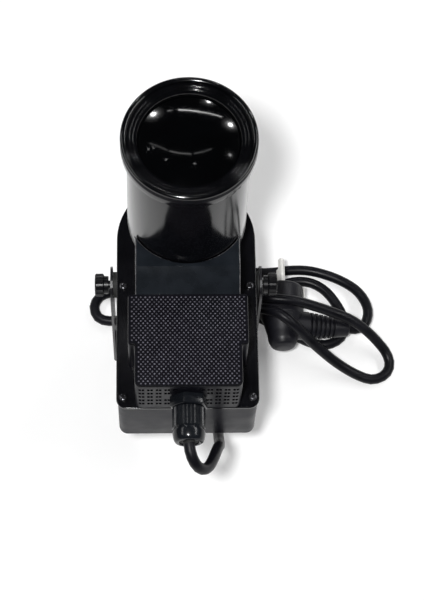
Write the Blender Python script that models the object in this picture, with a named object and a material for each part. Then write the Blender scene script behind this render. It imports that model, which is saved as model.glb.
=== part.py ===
"""Pinspot light on a tilting yoke, with its mains lead laid beside it.

Metres, +Z up. The barrel points up, the lead leaves towards -Y, and the yoke's base
rests on Z = 0. The head's pieces are placed from the barrel's axis on the cover's
front plane, where forward is -Y and h is the height above that plane.
"""
import math

import bmesh
import bpy
from mathutils import Matrix, Vector

# Clearances
SEAT_GAP = 0.0003
HOLE_GAP = 0.0004
FAN_TIP_GAP = 0.0008
CUT_PAST = 0.001

# Yoke
YOKE_HALF_WIDTH = 0.0516
YOKE_THICKNESS = 0.0016
YOKE_DEPTH = 0.025
YOKE_DROP = 0.113
YOKE_BEND = 0.004
YOKE_BOLT_RADIUS = 0.0052
YOKE_SLOT_RADIUS = 0.0028
YOKE_SLOT_OFFSET = 0.026

# Pivot, measured from the barrel's axis and the cover's front plane
PIVOT_FORWARD = 0.0245
PIVOT_BELOW = 0.020

# Thumb screws, spacers and the nuts they turn in
STUD_RADIUS = 0.003
STUD_REACH = 0.0145
HUB_RADIUS = 0.0061
HUB_LENGTH = 0.0029
NECK_LENGTH = 0.0015
GRIP_RADIUS = 0.0077
GRIP_LENGTH = 0.0062
GRIP_EDGE = 0.0008
KNURL_DEPTH = 0.0003
KNURLS = 32
SPACER_RADIUS = 0.0088
NUT_RADIUS = 0.0055
NUT_LENGTH = 0.005

# Cover plate and rear box
COVER_HALF_WIDTH = 0.047
COVER_FRONT = 0.1214
COVER_CORNER = 0.007
COVER_THICKNESS = 0.002
BOX_INSET = 0.001
BOX_DEPTH = 0.056
BOX_WALL = 0.0018
GASKET_WIDTH = 0.0014
GASKET_THICKNESS = 0.001

# Cover screws
SCREW_SIDE = 0.0425
SCREW_REAR = 0.0345
SCREW_FRONT = 0.114
SCREW_HEAD_RADIUS = 0.0026
SCREW_HEAD_HEIGHT = 0.0018
SCREW_SHANK_RADIUS = 0.0013
SCREW_LENGTH = 0.012
SCREW_POINT = 0.0006
BOSS_RADIUS = 0.0029

# Pod with its intake mesh, and the neck between pod and barrel
POD_WALL = 0.002
POD_HEIGHT = 0.040
POD_REAR = 0.0575
POD_WIDE_END = 0.0925
POD_FRONT = 0.121
POD_WIDE_HALF = 0.0388
POD_HALF = 0.0345
POD_CORNER = 0.004
MESH_THICKNESS = 0.001
NECK_HALF = 0.034
NECK_HEIGHT = 0.050
NECK_CREASE = 0.042
NECK_REAR = 0.012
NECK_WALL = 0.0015

# Perforated wall of the pod
VENT_RADIUS = 0.0009
VENT_STRETCH = 0.0008
VENT_PAIR = 0.0021
VENT_PITCH_X = 0.0055
VENT_PITCH_H = 0.00625
VENT_ROWS = 5
VENT_COLUMNS = 12
VENT_MIDDLE = 0.021

# Collar and barrel
COLLAR_INSET = 0.0058
COLLAR_WALL = 0.0055
TUBE_BOTTOM = 0.027
TUBE_TOP = 0.1413
TUBE_TAPER = 0.0009
TUBE_WALL = 0.002
TUBE_LIP_WIDTH = 0.0103
TUBE_ROUND = 0.006
BARREL_SCREW_INSET = 0.0081
BARREL_SCREW_DEPTH = 0.007

# Bezel and lens
BEZEL_OVERHANG = 0.0038
BEZEL_RISE = 0.0067
BEZEL_SKIRT = 0.0055
BEAD_RADIUS = 0.002
BEAD_HEIGHT = 0.0018
BEZEL_STEPS = 3
STEP_HEIGHT = 0.0008
APERTURE_RADIUS = 0.0322
LENS_LIP = 0.0039
LENS_EDGE = 0.0028
LENS_RISE = 0.0055
LENS_DEPTH = 0.0016
SEAL_THICKNESS = 0.0008
RETAINER_HEIGHT = 0.0035

# Lamp module
HEATSINK_OVERLAP = 0.0025
HEATSINK_BASE = 0.005
FIN_INSET = 0.0037
FIN_LENGTH = 0.036
FIN_COUNT = 9
FIN_THICKNESS = 0.0022
FIN_FILLET = 0.0005
LED_BOARD_RADIUS = 0.021
LED_BOARD_THICKNESS = 0.0016
LED_SIDE = 0.0058
LED_HEIGHT = 0.0022
OPTIC_FOOT_RADIUS = 0.009
OPTIC_RIM = 0.003
OPTIC_HEIGHT = 0.024
OPTIC_POCKET = 0.0052
OPTIC_AIR = 0.0012
OPTIC_WAIST_RADIUS = 0.013
OPTIC_WAIST_HEIGHT = 0.006
OPTIC_FLANGE = 0.0025

# Fan
FAN_SIDE = 0.050
FAN_HEIGHT = 0.015
FAN_SETBACK = 0.0355
FAN_BORE = 0.0235
FAN_HUB = 0.010
FAN_SHAFT = 0.0015
FAN_BLADES = 7
FAN_BLADE_THICKNESS = 0.0012
FAN_BLADE_CHORD = 0.011
FAN_BLADE_PITCH = math.radians(38)
FAN_CORNER = 0.003
FAN_PLATE = 0.003
FAN_SPOKE_WIDTH = 0.0024
FAN_SPOKE_STEP = 0.0008
FAN_RECESS = 0.001
FAN_SCREW_OFFSET = 0.020

# Driver board and what is on it
BOARD_LENGTH = 0.066
BOARD_WIDTH = 0.070
BOARD_FORWARD = 0.082
BOARD_THICKNESS = 0.0016
BOARD_LIFT = 0.007
BOARD_SCREW_INSET = 0.004
BOARD_SCREW_SHORT = 0.002
TRANSFORMER_SIDE = 0.024
TRANSFORMER_HEIGHT = 0.019
TRANSFORMER_EDGE = 0.001
TRANSFORMER_X = 0.013
CAPACITOR_RADIUS = 0.0065
CAPACITOR_HEIGHT = 0.021
CAPACITOR_X = 0.0175
CAPACITOR_Y = 0.011
TERMINAL_LENGTH = 0.022
TERMINAL_DEPTH = 0.010
TERMINAL_HEIGHT = 0.011
TERMINAL_INSET = 0.002

# Cable gland
GLAND_THREAD_RADIUS = 0.0076
GLAND_HEX = 0.022
GLAND_HEX_LENGTH = 0.0077
GLAND_NUT_RADIUS = 0.0108
GLAND_NUT_LENGTH = 0.014
GLAND_DOME_LENGTH = 0.009
GLAND_MOUTH_RADIUS = 0.0064
GLAND_LIP = 0.0012
GLAND_RIB = 0.0005
GLAND_RIBS = 32
GLAND_WALL = 0.0014
GLAND_THREAD_SHORT = 0.003
SEAL_RECESS = 0.001
LOCKNUT_LENGTH = 0.003
LOCKNUT_SIDE = 0.020

# Mains lead and plug
CORD_RADIUS = 0.00375
PLUG_RADIUS = 0.016
PLUG_DEPTH = 0.049
PLUG_DRUM = 0.025
PLUG_BACK_RADIUS = 0.0115
PLUG_CROWN = 0.014
PLUG_EDGE = 0.0012
PLUG_X = 0.072
PLUG_FACE_Y = 0.0645
PLUG_Z = 0.0242
TAIL_Y = 0.035
TAIL_END_X = 0.1215
TAIL_END_Z = 0.0155
TAIL_FOOT_RADIUS = 0.0105
TAIL_TIP_RADIUS = 0.006
TAIL_STRAIGHT = 0.019
PIN_RADIUS = 0.0024
PIN_LENGTH = 0.019
PIN_PITCH = 0.019
EARTH_CLIP_WIDTH = 0.006
EARTH_CLIP_THICKNESS = 0.0008
EARTH_CLIP_LENGTH = 0.0145

# Route of the lead's middle line: the flexing drop, then the run on the floor
DROP_ROUTE = [
    (0.0005, -0.1040, 0.1550), (0.0021, -0.1089, 0.1526), (0.0045, -0.1121, 0.1489),
    (0.0074, -0.1133, 0.1445), (0.0104, -0.1121, 0.1400), (0.0131, -0.1088, 0.1356),
    (0.0153, -0.1039, 0.1309), (0.0174, -0.0975, 0.1245), (0.0192, -0.0909, 0.1158),
    (0.0206, -0.0853, 0.1050), (0.0216, -0.0807, 0.0925), (0.0222, -0.0758, 0.0795),
    (0.0225, -0.0692, 0.0662), (0.0226, -0.0600, 0.0520), (0.0225, -0.0490, 0.0388),
    (0.0222, -0.0370, 0.0272),
]
FLOOR_ROUTE = [
    (0.0222, -0.0370, 0.0272), (0.0214, -0.0252, 0.0168), (0.0192, -0.0132, 0.0100),
    (0.0158, -0.0008, 0.0068), (0.0110, 0.0115, 0.0061), (0.0100, 0.0235, 0.0060),
    (0.0120, 0.0355, 0.0062), (0.0170, 0.0465, 0.0074), (0.0270, 0.0530, 0.0140),
    (0.0400, 0.0535, 0.0268), (0.0490, 0.0510, 0.0365), (0.0575, 0.0480, 0.0438), (0.0670, 0.0460, 0.0465),
    (0.0780, 0.0450, 0.0460), (0.0880, 0.0440, 0.0425), (0.0990, 0.0425, 0.0375),
    (0.1100, 0.0405, 0.0325), (0.1210, 0.0375, 0.0282), (0.1320, 0.0325, 0.0220),
    (0.1420, 0.0265, 0.0130), (0.1500, 0.0185, 0.0062), (0.1518, 0.0095, 0.0040),
    (0.1470, 0.0020, 0.0039), (0.1375, -0.0008, 0.0040), (0.1255, 0.0030, 0.0060),
    (0.1125, 0.0090, 0.0120), (0.1000, 0.0155, 0.0215), (0.0890, 0.0215, 0.0322),
    (0.0790, 0.0275, 0.0425), (0.0690, 0.0345, 0.0460), (0.0600, 0.0400, 0.0408),
    (0.0510, 0.0458, 0.0302), (0.0420, 0.0470, 0.0205), (0.0320, 0.0445, 0.0158), (0.0210, 0.0410, 0.0152),
    (0.0100, 0.0365, 0.0148), (-0.0040, 0.0375, 0.0105), (-0.0180, 0.0405, 0.0068),
    (-0.0320, 0.0450, 0.0062), (-0.0440, 0.0470, 0.0048), (-0.0550, 0.0468, 0.0039),
    (-0.0632, 0.0493, 0.0039), (-0.0666, 0.0575, 0.0039), (-0.0632, 0.0658, 0.0039),
    (-0.0550, 0.0698, 0.0039), (-0.0440, 0.0714, 0.0039), (-0.0320, 0.0720, 0.0041),
    (-0.0200, 0.0720, 0.0052), (-0.0080, 0.0715, 0.0098), (0.0030, 0.0705, 0.0128),
    (0.0140, 0.0690, 0.0098), (0.0260, 0.0670, 0.0050), (0.0420, 0.0655, 0.0039),
    (0.0570, 0.0670, 0.0039), (0.0710, 0.0740, 0.0039), (0.0840, 0.0780, 0.0039),
    (0.0960, 0.0770, 0.0039), (0.1065, 0.0705, 0.0039), (0.1145, 0.0595, 0.0039),
    (0.1195, 0.0470, 0.0039), (0.1180, 0.0345, 0.0039), (0.1085, 0.0275, 0.0039),
    (0.0960, 0.0280, 0.0039), (0.0820, 0.0345, 0.0039), (0.0680, 0.0425, 0.0039),
    (0.0540, 0.0500, 0.0039), (0.0400, 0.0545, 0.0039), (0.0260, 0.0560, 0.0039),
    (0.0120, 0.0585, 0.0039), (0.0022, 0.0655, 0.0039), (0.0005, 0.0765, 0.0039),
    (0.0090, 0.0860, 0.0039), (0.0250, 0.0890, 0.0039), (0.0430, 0.0872, 0.0039),
    (0.0580, 0.0855, 0.0039), (0.0700, 0.0860, 0.0039), (0.0820, 0.0875, 0.0039),
    (0.0950, 0.0870, 0.0039), (0.1080, 0.0835, 0.0039), (0.1200, 0.0780, 0.0041),
    (0.1295, 0.0705, 0.0055), (0.1352, 0.0610, 0.0080), (0.1372, 0.0510, 0.0110),
    (0.1356, 0.0425, 0.0128), (0.1323, 0.0373, 0.0138),
]

# Places that follow from the sizes above
GLAND_REACH = POD_FRONT + SEAT_GAP * 2 + GLAND_HEX_LENGTH + GLAND_NUT_LENGTH + GLAND_DOME_LENGTH
PIVOT_Z = YOKE_THICKNESS + YOKE_DROP
COVER_Z = PIVOT_Z + PIVOT_BELOW
AXIS_Y = (GLAND_REACH - COVER_HALF_WIDTH) / 2
PIVOT_Y = AXIS_Y - PIVOT_FORWARD
ARM_INNER = YOKE_HALF_WIDTH - YOKE_THICKNESS
BOX_HALF = COVER_HALF_WIDTH - BOX_INSET
COVER_BACK = -COVER_THICKNESS
BOX_TOP = COVER_BACK - GASKET_THICKNESS - SEAT_GAP * 2
BOX_FLOOR = -BOX_DEPTH + BOX_WALL
BOARD_BOTTOM = BOX_FLOOR + BOARD_LIFT
BOARD_TOP = BOARD_BOTTOM + BOARD_THICKNESS
FAN_TOP = POD_HEIGHT - POD_WALL - SEAT_GAP
FAN_BOTTOM = FAN_TOP - FAN_HEIGHT
FAN_FORWARD = POD_FRONT - FAN_SETBACK
BEZEL_TOP = TUBE_TOP + BEZEL_RISE
LENS_SEAT = TUBE_TOP - LENS_DEPTH
LENS_RADIUS = APERTURE_RADIUS + LENS_LIP
TUBE_INNER = LENS_RADIUS + SEAT_GAP
TUBE_TOP_RADIUS = TUBE_INNER + TUBE_WALL
TUBE_FOOT_RADIUS = TUBE_TOP_RADIUS + TUBE_TAPER
BEZEL_RADIUS = TUBE_TOP_RADIUS + BEZEL_OVERHANG
TUBE_LIP_RADIUS = TUBE_FOOT_RADIUS - TUBE_LIP_WIDTH
BARREL_SCREW_CIRCLE = TUBE_FOOT_RADIUS - BARREL_SCREW_INSET
COLLAR_RADIUS = TUBE_FOOT_RADIUS - COLLAR_INSET
LIGHT_BORE = COLLAR_RADIUS - COLLAR_WALL
OPTIC_TOP_RADIUS = LIGHT_BORE - OPTIC_RIM
HEATSINK_RADIUS = COLLAR_RADIUS + HEATSINK_OVERLAP
FIN_RADIUS = BARREL_SCREW_CIRCLE - FIN_INSET

# Turns an outline in X and Y into one in Y and Z that is drawn out along X
ALONG_X = Matrix(((0, 0, 1), (1, 0, 0), (0, 1, 0)))

PARTS = []


def material(name, colour, roughness, metallic=0.0):
    """A Principled material, made once for each finish."""
    found = bpy.data.materials.get(name)
    if found:
        return found
    made = bpy.data.materials.new(name)
    made.use_nodes = True
    shader = made.node_tree.nodes["Principled BSDF"]
    shader.inputs["Base Color"].default_value = (*colour, 1)
    shader.inputs["Roughness"].default_value = roughness
    shader.inputs["Metallic"].default_value = metallic
    return made


def empty(name, place, parent=None):
    """An empty that carries pieces."""
    made = bpy.data.objects.new(name, None)
    bpy.context.collection.objects.link(made)
    made.location = place
    made.parent = parent
    return made


def solid(name, shape, finish=None, parent=None, place=(0, 0, 0), turn=(0, 0, 0)):
    """An object from a bmesh, shaded smooth up to 35 degrees; a guide has no finish."""
    bmesh.ops.recalc_face_normals(shape, faces=shape.faces)
    mesh = bpy.data.meshes.new(name)
    shape.to_mesh(mesh)
    shape.free()
    mesh.shade_smooth()
    mesh.set_sharp_from_angle(angle=math.radians(35))
    made = bpy.data.objects.new(name, mesh)
    bpy.context.collection.objects.link(made)
    made.location = place
    made.rotation_euler = turn
    made.parent = parent
    if finish is None:
        made.hide_render = True
        made.display_type = "WIRE"
    else:
        own = finish.copy()
        own.name = name
        mesh.materials.append(own)
        PARTS.append(made)
    return made


def shape_with(piece, guide, operation="DIFFERENCE"):
    """Cuts, joins or keeps a piece by a guide, exactly."""
    step = piece.modifiers.new(operation.title(), "BOOLEAN")
    step.operation = operation
    step.solver = "EXACT"
    step.object = guide


def turned(profile, steps, shape=None, centre=(0, 0, 0)):
    """A solid turned about Z from (radius, height) points."""
    shape = shape or bmesh.new()
    x, y, z = centre
    rings = []
    for radius, height in profile:
        if radius < 1e-7:
            rings.append([shape.verts.new((x, y, z + height))])
            continue
        ring = []
        for k in range(steps):
            angle = math.tau * k / steps
            ring.append(shape.verts.new((x + radius * math.cos(angle), y + radius * math.sin(angle), z + height)))
        rings.append(ring)
    closed = len(rings[0]) > 1
    for a, b in zip(rings, rings[1:] + rings[:1] if closed else rings[1:]):
        for k in range(steps):
            n = (k + 1) % steps
            if len(a) == 1:
                shape.faces.new((a[0], b[k], b[n]))
            elif len(b) == 1:
                shape.faces.new((a[k], a[n], b[0]))
            else:
                shape.faces.new((a[k], a[n], b[n], b[k]))
    return shape


def disc(radius, low, high, steps=24, shape=None, centre=(0, 0, 0)):
    """A plain cylinder between two heights."""
    return turned([(0, low), (radius, low), (radius, high), (0, high)], steps, shape, centre)


def ring(outer, inner, low, high, steps=36):
    """A plain ring between two heights."""
    return turned([(outer, low), (outer, high), (inner, high), (inner, low)], steps)


def prism(outline, low, high, shape=None):
    """An outline in X and Y drawn up from low to high."""
    shape = shape or bmesh.new()
    bottom = [shape.verts.new((x, y, low)) for x, y in outline]
    top = [shape.verts.new((x, y, high)) for x, y in outline]
    shape.faces.new(bottom)
    shape.faces.new(top)
    for k in range(len(outline)):
        n = (k + 1) % len(outline)
        shape.faces.new((bottom[k], bottom[n], top[n], top[k]))
    return shape


def block(x0, x1, y0, y1, z0, z1, shape=None):
    """A plain box between its lowest and highest corners."""
    return prism([(x0, y0), (x1, y0), (x1, y1), (x0, y1)], z0, z1, shape)


def spin(shape, angle, axis):
    """Turns a whole bmesh about one of its own axes."""
    bmesh.ops.rotate(shape, verts=shape.verts, cent=(0, 0, 0), matrix=Matrix.Rotation(angle, 3, axis))


def arc(x, y, radius, start, end, steps):
    """Points of an arc, angles in degrees."""
    points = []
    for k in range(steps + 1):
        angle = math.radians(start + (end - start) * k / steps)
        points.append((x + radius * math.cos(angle), y + radius * math.sin(angle)))
    return points


def cover_outline(inset=0.0, arch_steps=32):
    """Arched outline of the cover and the box behind it, drawn in by inset."""
    half = COVER_HALF_WIDTH - inset
    corner = max(COVER_CORNER - inset, 0.001)
    low = -COVER_FRONT + inset + corner
    return (arc(0, 0, half, 0, 180, arch_steps)
            + arc(-half + corner, low, corner, 180, 270, 4)
            + arc(half - corner, low, corner, 270, 360, 4))


def pod_outline(inset=0.0):
    """T outline of the pod: wide beside the neck, narrower towards the gland."""
    wide, half = POD_WIDE_HALF - inset, POD_HALF - inset
    rear, step, front = -POD_REAR - inset, -POD_WIDE_END + inset, -POD_FRONT + inset
    corner = max(POD_CORNER - inset, 0.001)
    small = corner / 2
    right = (arc(wide - small, rear - small, small, 90, 0, 3)
             + arc(wide - small, step + small, small, 0, -90, 3)
             + [(half, step)]
             + arc(half - corner, front + corner, corner, 0, -90, 4))
    return right + [(-x, y) for x, y in reversed(right)]


def screw_places():
    """Six cover screws: four beside the pod and two on the arch behind the barrel."""
    slant = SCREW_SIDE * math.sqrt(0.5)
    return [(side * SCREW_SIDE, -forward) for forward in (SCREW_FRONT, SCREW_REAR) for side in (-1, 1)] \
        + [(side * slant, slant) for side in (-1, 1)]


def screw(length, head=SCREW_HEAD_RADIUS, steps=8):
    """A round-headed screw, its seat at 0, the head above it and the shank below."""
    shank = [(0, -length), (SCREW_SHANK_RADIUS, -length + SCREW_POINT), (SCREW_SHANK_RADIUS, 0)]
    return turned(shank + [(head, 0), (head, SCREW_HEAD_HEIGHT * 0.45), (head * 0.7, SCREW_HEAD_HEIGHT * 0.88),
                           (0, SCREW_HEAD_HEIGHT)], steps)


def hexagon(across, low, high):
    """A hexagonal prism of a given width across its flats."""
    return prism(arc(0, 0, across / math.sqrt(3), 30, 330, 5), low, high)


def smooth_route(points, spacing):
    """Evenly spaced points on a smooth curve through a route's own points."""
    points = [Vector(p) for p in points]
    ends = [points[0] * 2 - points[1]] + points + [points[-1] * 2 - points[-2]]
    dense = []
    for k in range(1, len(ends) - 2):
        p0, p1, p2, p3 = ends[k - 1:k + 3]
        for step in range(12):
            t = step / 12
            dense.append(0.5 * (2 * p1 + (p2 - p0) * t + (2 * p0 - 5 * p1 + 4 * p2 - p3) * t * t
                                + (3 * p1 - p0 - 3 * p2 + p3) * t ** 3))
    dense.append(points[-1])
    length = sum((b - a).length for a, b in zip(dense, dense[1:]))
    count = max(round(length / spacing), 1)
    even, travelled, target = [dense[0]], 0.0, length / count
    for a, b in zip(dense, dense[1:]):
        part = (b - a).length
        while travelled + part >= target - 1e-9 and len(even) < count:
            even.append(a + (b - a) * ((target - travelled) / part))
            target += length / count
        travelled += part
    return even + [dense[-1]]


def lead(name, points, finish, parent=None):
    """A round lead along a route, as a curve with filled ends and its end stretches straight."""
    path = [Vector(points[0])] + smooth_route(points[1:-1], CORD_RADIUS * 4.2) + [Vector(points[-1])]
    offset = Vector((0, 0, 0))
    if parent:
        bpy.context.view_layer.update()
        offset = parent.matrix_world.translation
    curve = bpy.data.curves.new(name, "CURVE")
    curve.dimensions = "3D"
    curve.bevel_depth = CORD_RADIUS
    curve.bevel_resolution = 2
    curve.use_fill_caps = True
    line = curve.splines.new("POLY")
    line.points.add(len(path) - 1)
    for point, place in zip(line.points, path):
        point.co = (*(place - offset), 1)
    made = bpy.data.objects.new(name, curve)
    bpy.context.collection.objects.link(made)
    made.parent = parent
    own = finish.copy()
    own.name = name
    curve.materials.append(own)
    PARTS.append(made)


def make_yoke():
    """A bent strap: base on the floor and two arms with round tops."""
    outer, inner = YOKE_HALF_WIDTH, ARM_INNER
    round_out, round_in = YOKE_BEND + YOKE_THICKNESS, YOKE_BEND
    top = PIVOT_Z + YOKE_DEPTH / 2
    right = ([(inner, top), (outer, top)]
             + arc(outer - round_out, round_out, round_out, 0, -90, 5))
    left = [(-x, z) for x, z in reversed(right)]
    inside = (arc(-outer + round_out, round_out, round_in, 180, 270, 5)
              + arc(outer - round_out, round_out, round_in, 270, 360, 5))
    strap = prism(right + left + inside, -YOKE_DEPTH / 2, YOKE_DEPTH / 2)
    spin(strap, math.pi / 2, "X")
    yoke = solid("yoke", strap, black_metal, place=(0, PIVOT_Y, 0))
    half = YOKE_DEPTH / 2
    form = arc(0, PIVOT_Z, half, 0, 180, 16) + [(-half, -YOKE_BEND), (half, -YOKE_BEND)]
    tongue = prism(form, -outer * 1.2, outer * 1.2)
    bmesh.ops.rotate(tongue, verts=tongue.verts, cent=(0, 0, 0), matrix=ALONG_X)
    shape_with(yoke, solid("yoke_tongue", tongue, place=(0, PIVOT_Y, 0)), "INTERSECT")
    holes = disc(YOKE_BOLT_RADIUS, -CUT_PAST, YOKE_THICKNESS + CUT_PAST, 20)
    for side in (-1, 1):
        place = (side * YOKE_SLOT_OFFSET, 0, 0)
        disc(YOKE_SLOT_RADIUS, -CUT_PAST, YOKE_THICKNESS + CUT_PAST, 12, holes, place)
    shape_with(yoke, solid("yoke_base_holes", holes, place=(0, PIVOT_Y, 0)))
    shape_with(yoke, solid("yoke_pivot_holes", disc(STUD_RADIUS + HOLE_GAP, -outer * 1.2, outer * 1.2, 20),
                           place=(0, PIVOT_Y, PIVOT_Z), turn=(0, math.pi / 2, 0)))


def make_pivot(side, word):
    """Thumb screw, friction spacer and captive nut of one side, all on the pivot's axis."""
    turn = (0, side * math.pi / 2, 0)
    neck = YOKE_HALF_WIDTH + NECK_LENGTH
    hub = neck + HUB_LENGTH
    end = hub + GRIP_LENGTH
    tip = BOX_HALF - STUD_REACH + YOKE_THICKNESS
    plain = [(0, tip), (STUD_RADIUS - GRIP_EDGE, tip), (STUD_RADIUS, tip + GRIP_EDGE), (STUD_RADIUS, neck),
             (HUB_RADIUS, neck), (HUB_RADIUS, hub)]
    grip = [(GRIP_RADIUS - GRIP_EDGE, hub), (GRIP_RADIUS, hub + GRIP_EDGE), (GRIP_RADIUS, end - GRIP_EDGE),
            (GRIP_RADIUS - GRIP_EDGE, end), (0, end)]
    knob = turned(plain + grip, KNURLS)
    edge = [v for v in knob.verts if math.hypot(v.co.x, v.co.y) > GRIP_RADIUS - 1e-6]
    for v in edge:
        step = round(math.atan2(v.co.y, v.co.x) / math.tau * KNURLS)
        if step % 2:
            v.co.x *= 1 - KNURL_DEPTH / GRIP_RADIUS
            v.co.y *= 1 - KNURL_DEPTH / GRIP_RADIUS
    solid("knob_" + word, knob, black_plastic, tilt, turn=turn)
    solid("spacer_" + word, ring(SPACER_RADIUS, STUD_RADIUS + HOLE_GAP, BOX_HALF + SEAT_GAP,
                                 ARM_INNER - SEAT_GAP, 28), rubber, tilt, turn=turn)
    nut_top = BOX_HALF - BOX_WALL - SEAT_GAP
    nut = hexagon(NUT_RADIUS * 2, nut_top - NUT_LENGTH, nut_top)
    piece = solid("pivot_nut_" + word, nut, steel, tilt, turn=turn)
    shape_with(piece, solid("nut_bore_" + word, disc(STUD_RADIUS + HOLE_GAP, 0, YOKE_HALF_WIDTH, 20),
                            parent=tilt, turn=turn))


def make_box():
    """The rear box: an arched tray with screw bosses, board posts and pivot holes."""
    box = solid("rear_box", prism(cover_outline(BOX_INSET), -BOX_DEPTH, BOX_TOP), grey_metal, lamp)
    hollow = prism(cover_outline(BOX_INSET + BOX_WALL, 24), BOX_FLOOR, 0)
    shape_with(box, solid("box_hollow", hollow, parent=lamp))
    posts = bmesh.new()
    for x, y in screw_places():
        disc(BOSS_RADIUS, BOX_FLOOR - BOX_WALL / 2, BOX_TOP, 12, posts, (x, y, 0))
    for x, y in board_corners():
        disc(BOSS_RADIUS, BOX_FLOOR - BOX_WALL / 2, BOARD_BOTTOM - SEAT_GAP, 12, posts, (x, y, 0))
    shape_with(box, solid("box_posts", posts, parent=lamp), "UNION")
    holes = bmesh.new()
    for x, y in screw_places():
        disc(SCREW_SHANK_RADIUS + HOLE_GAP, -SCREW_LENGTH - CUT_PAST, 0, 10, holes, (x, y, 0))
    for x, y in board_corners():
        disc(SCREW_SHANK_RADIUS + HOLE_GAP, BOX_FLOOR + CUT_PAST, 0, 10, holes, (x, y, 0))
    shape_with(box, solid("box_screw_holes", holes, parent=lamp))
    pivot = disc(STUD_RADIUS + HOLE_GAP, -COVER_HALF_WIDTH * 1.2, COVER_HALF_WIDTH * 1.2, 20)
    shape_with(box, solid("box_pivot_holes", pivot, parent=tilt, turn=(0, math.pi / 2, 0)))
    gasket = solid("gasket", prism(cover_outline(BOX_INSET), COVER_BACK - SEAT_GAP - GASKET_THICKNESS,
                                   COVER_BACK - SEAT_GAP), rubber, lamp)
    middle = prism(cover_outline(BOX_INSET + GASKET_WIDTH, 24), -BOX_DEPTH, 0)
    shape_with(gasket, solid("gasket_hollow", middle, parent=lamp))


def make_cover():
    """Cover plate, pod, neck and collar as one moulding, hollow from behind."""
    cover = solid("front_housing", prism(cover_outline(), COVER_BACK, 0), gloss_black, lamp)
    pod = prism(pod_outline(), COVER_BACK / 2, POD_HEIGHT)
    shape_with(cover, solid("pod_form", pod, parent=lamp), "UNION")
    side = [(-NECK_REAR, COVER_BACK / 2), (-NECK_REAR, NECK_HEIGHT), (-NECK_CREASE, NECK_HEIGHT),
            (-POD_REAR, POD_HEIGHT + MESH_THICKNESS + SEAT_GAP), (-POD_REAR, POD_HEIGHT - POD_WALL / 2),
            (-POD_REAR - POD_CORNER, POD_HEIGHT - POD_WALL / 2), (-POD_REAR - POD_CORNER, COVER_BACK / 2)]
    shape_with(cover, solid("neck_form", neck_block(side, NECK_HALF), parent=lamp), "UNION")
    collar = disc(COLLAR_RADIUS, COVER_BACK / 2, TUBE_BOTTOM - SEAT_GAP, 48)
    shape_with(cover, solid("collar_form", collar, parent=lamp), "UNION")
    seat = disc(TUBE_FOOT_RADIUS + SEAT_GAP, TUBE_BOTTOM - SEAT_GAP, NECK_HEIGHT + CUT_PAST, 64)
    shape_with(cover, solid("tube_seat", seat, parent=lamp))
    hollow = prism(pod_outline(POD_WALL), COVER_BACK * 2, POD_HEIGHT - POD_WALL)
    shape_with(cover, solid("pod_hollow", hollow, parent=lamp))
    start = -NECK_CREASE - NECK_WALL
    inner = [(start, COVER_BACK * 2), (start, NECK_HEIGHT - POD_WALL * 2),
             (-POD_REAR, POD_HEIGHT - POD_WALL * 2), (-POD_REAR - POD_WALL * 2, POD_HEIGHT - POD_WALL * 2),
             (-POD_REAR - POD_WALL * 2, COVER_BACK * 2)]
    shape_with(cover, solid("neck_hollow", neck_block(inner, NECK_HALF - POD_WALL), parent=lamp))
    bores = disc(LIGHT_BORE, COVER_BACK * 2, NECK_HEIGHT, 40)
    disc(FAN_BORE, FAN_TOP - CUT_PAST, POD_HEIGHT + CUT_PAST, 32, bores, (0, -FAN_FORWARD, 0))
    shape_with(cover, solid("cover_bores", bores, parent=lamp))
    holes = bmesh.new()
    hole = SCREW_SHANK_RADIUS + HOLE_GAP
    for x, y in screw_places():
        disc(hole, COVER_BACK * 2, CUT_PAST, 12, holes, (x, y, 0))
    for x, y in fan_corners():
        disc(hole, FAN_TOP - CUT_PAST, POD_HEIGHT + CUT_PAST, 8, holes, (x, y, 0))
    for x, y in barrel_screw_places(0):
        disc(hole, TUBE_BOTTOM - BARREL_SCREW_DEPTH - CUT_PAST, TUBE_BOTTOM, 8, holes, (x, y, 0))
    for x, y in barrel_screw_places(60):
        disc(hole, COVER_BACK * 2, BARREL_SCREW_DEPTH, 8, holes, (x, y, 0))
    shape_with(cover, solid("cover_screw_holes", holes, parent=lamp))
    shape_with(cover, solid("vent_holes", vent_holes(), parent=lamp))
    gland = disc(GLAND_THREAD_RADIUS + HOLE_GAP, POD_FRONT - POD_WALL * 2, POD_FRONT + CUT_PAST, 24)
    turn = (math.pi / 2, 0, 0)
    shape_with(cover, solid("gland_hole", gland, parent=lamp, place=(0, 0, VENT_MIDDLE), turn=turn))
    for number, (x, y) in enumerate(screw_places(), 1):
        solid("cover_screw_%d" % number, screw(SCREW_LENGTH, steps=12), steel, lamp, (x, y, SEAT_GAP))
    solid("intake_mesh", prism(pod_outline(SEAT_GAP), 0, MESH_THICKNESS), black_plastic, lamp,
          (0, 0, POD_HEIGHT + SEAT_GAP))


def neck_block(outline, half):
    """An outline in forward distance and height, drawn out to both sides."""
    shape = prism(outline, -half, half)
    bmesh.ops.rotate(shape, verts=shape.verts, cent=(0, 0, 0), matrix=ALONG_X)
    return shape


def vent_holes():
    """Pairs of small upright slots in rows on the pod's front wall, left out around the gland."""
    shape = bmesh.new()
    clear = GLAND_HEX / math.sqrt(3) + VENT_PAIR
    for row in range(VENT_ROWS):
        h = VENT_MIDDLE + (row - (VENT_ROWS - 1) / 2) * VENT_PITCH_H
        for column in range(VENT_COLUMNS):
            x = (column - (VENT_COLUMNS - 1) / 2) * VENT_PITCH_X
            if math.hypot(x, h - VENT_MIDDLE) < clear:
                continue
            for pair in (-VENT_PAIR / 2, VENT_PAIR / 2):
                slot = (arc(x + pair, h + VENT_STRETCH, VENT_RADIUS, 0, 180, 3)
                        + arc(x + pair, h - VENT_STRETCH, VENT_RADIUS, 180, 360, 3))
                prism(slot, POD_FRONT - POD_WALL * 2, POD_FRONT + CUT_PAST, shape)
    spin(shape, math.pi / 2, "X")
    return shape


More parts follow.
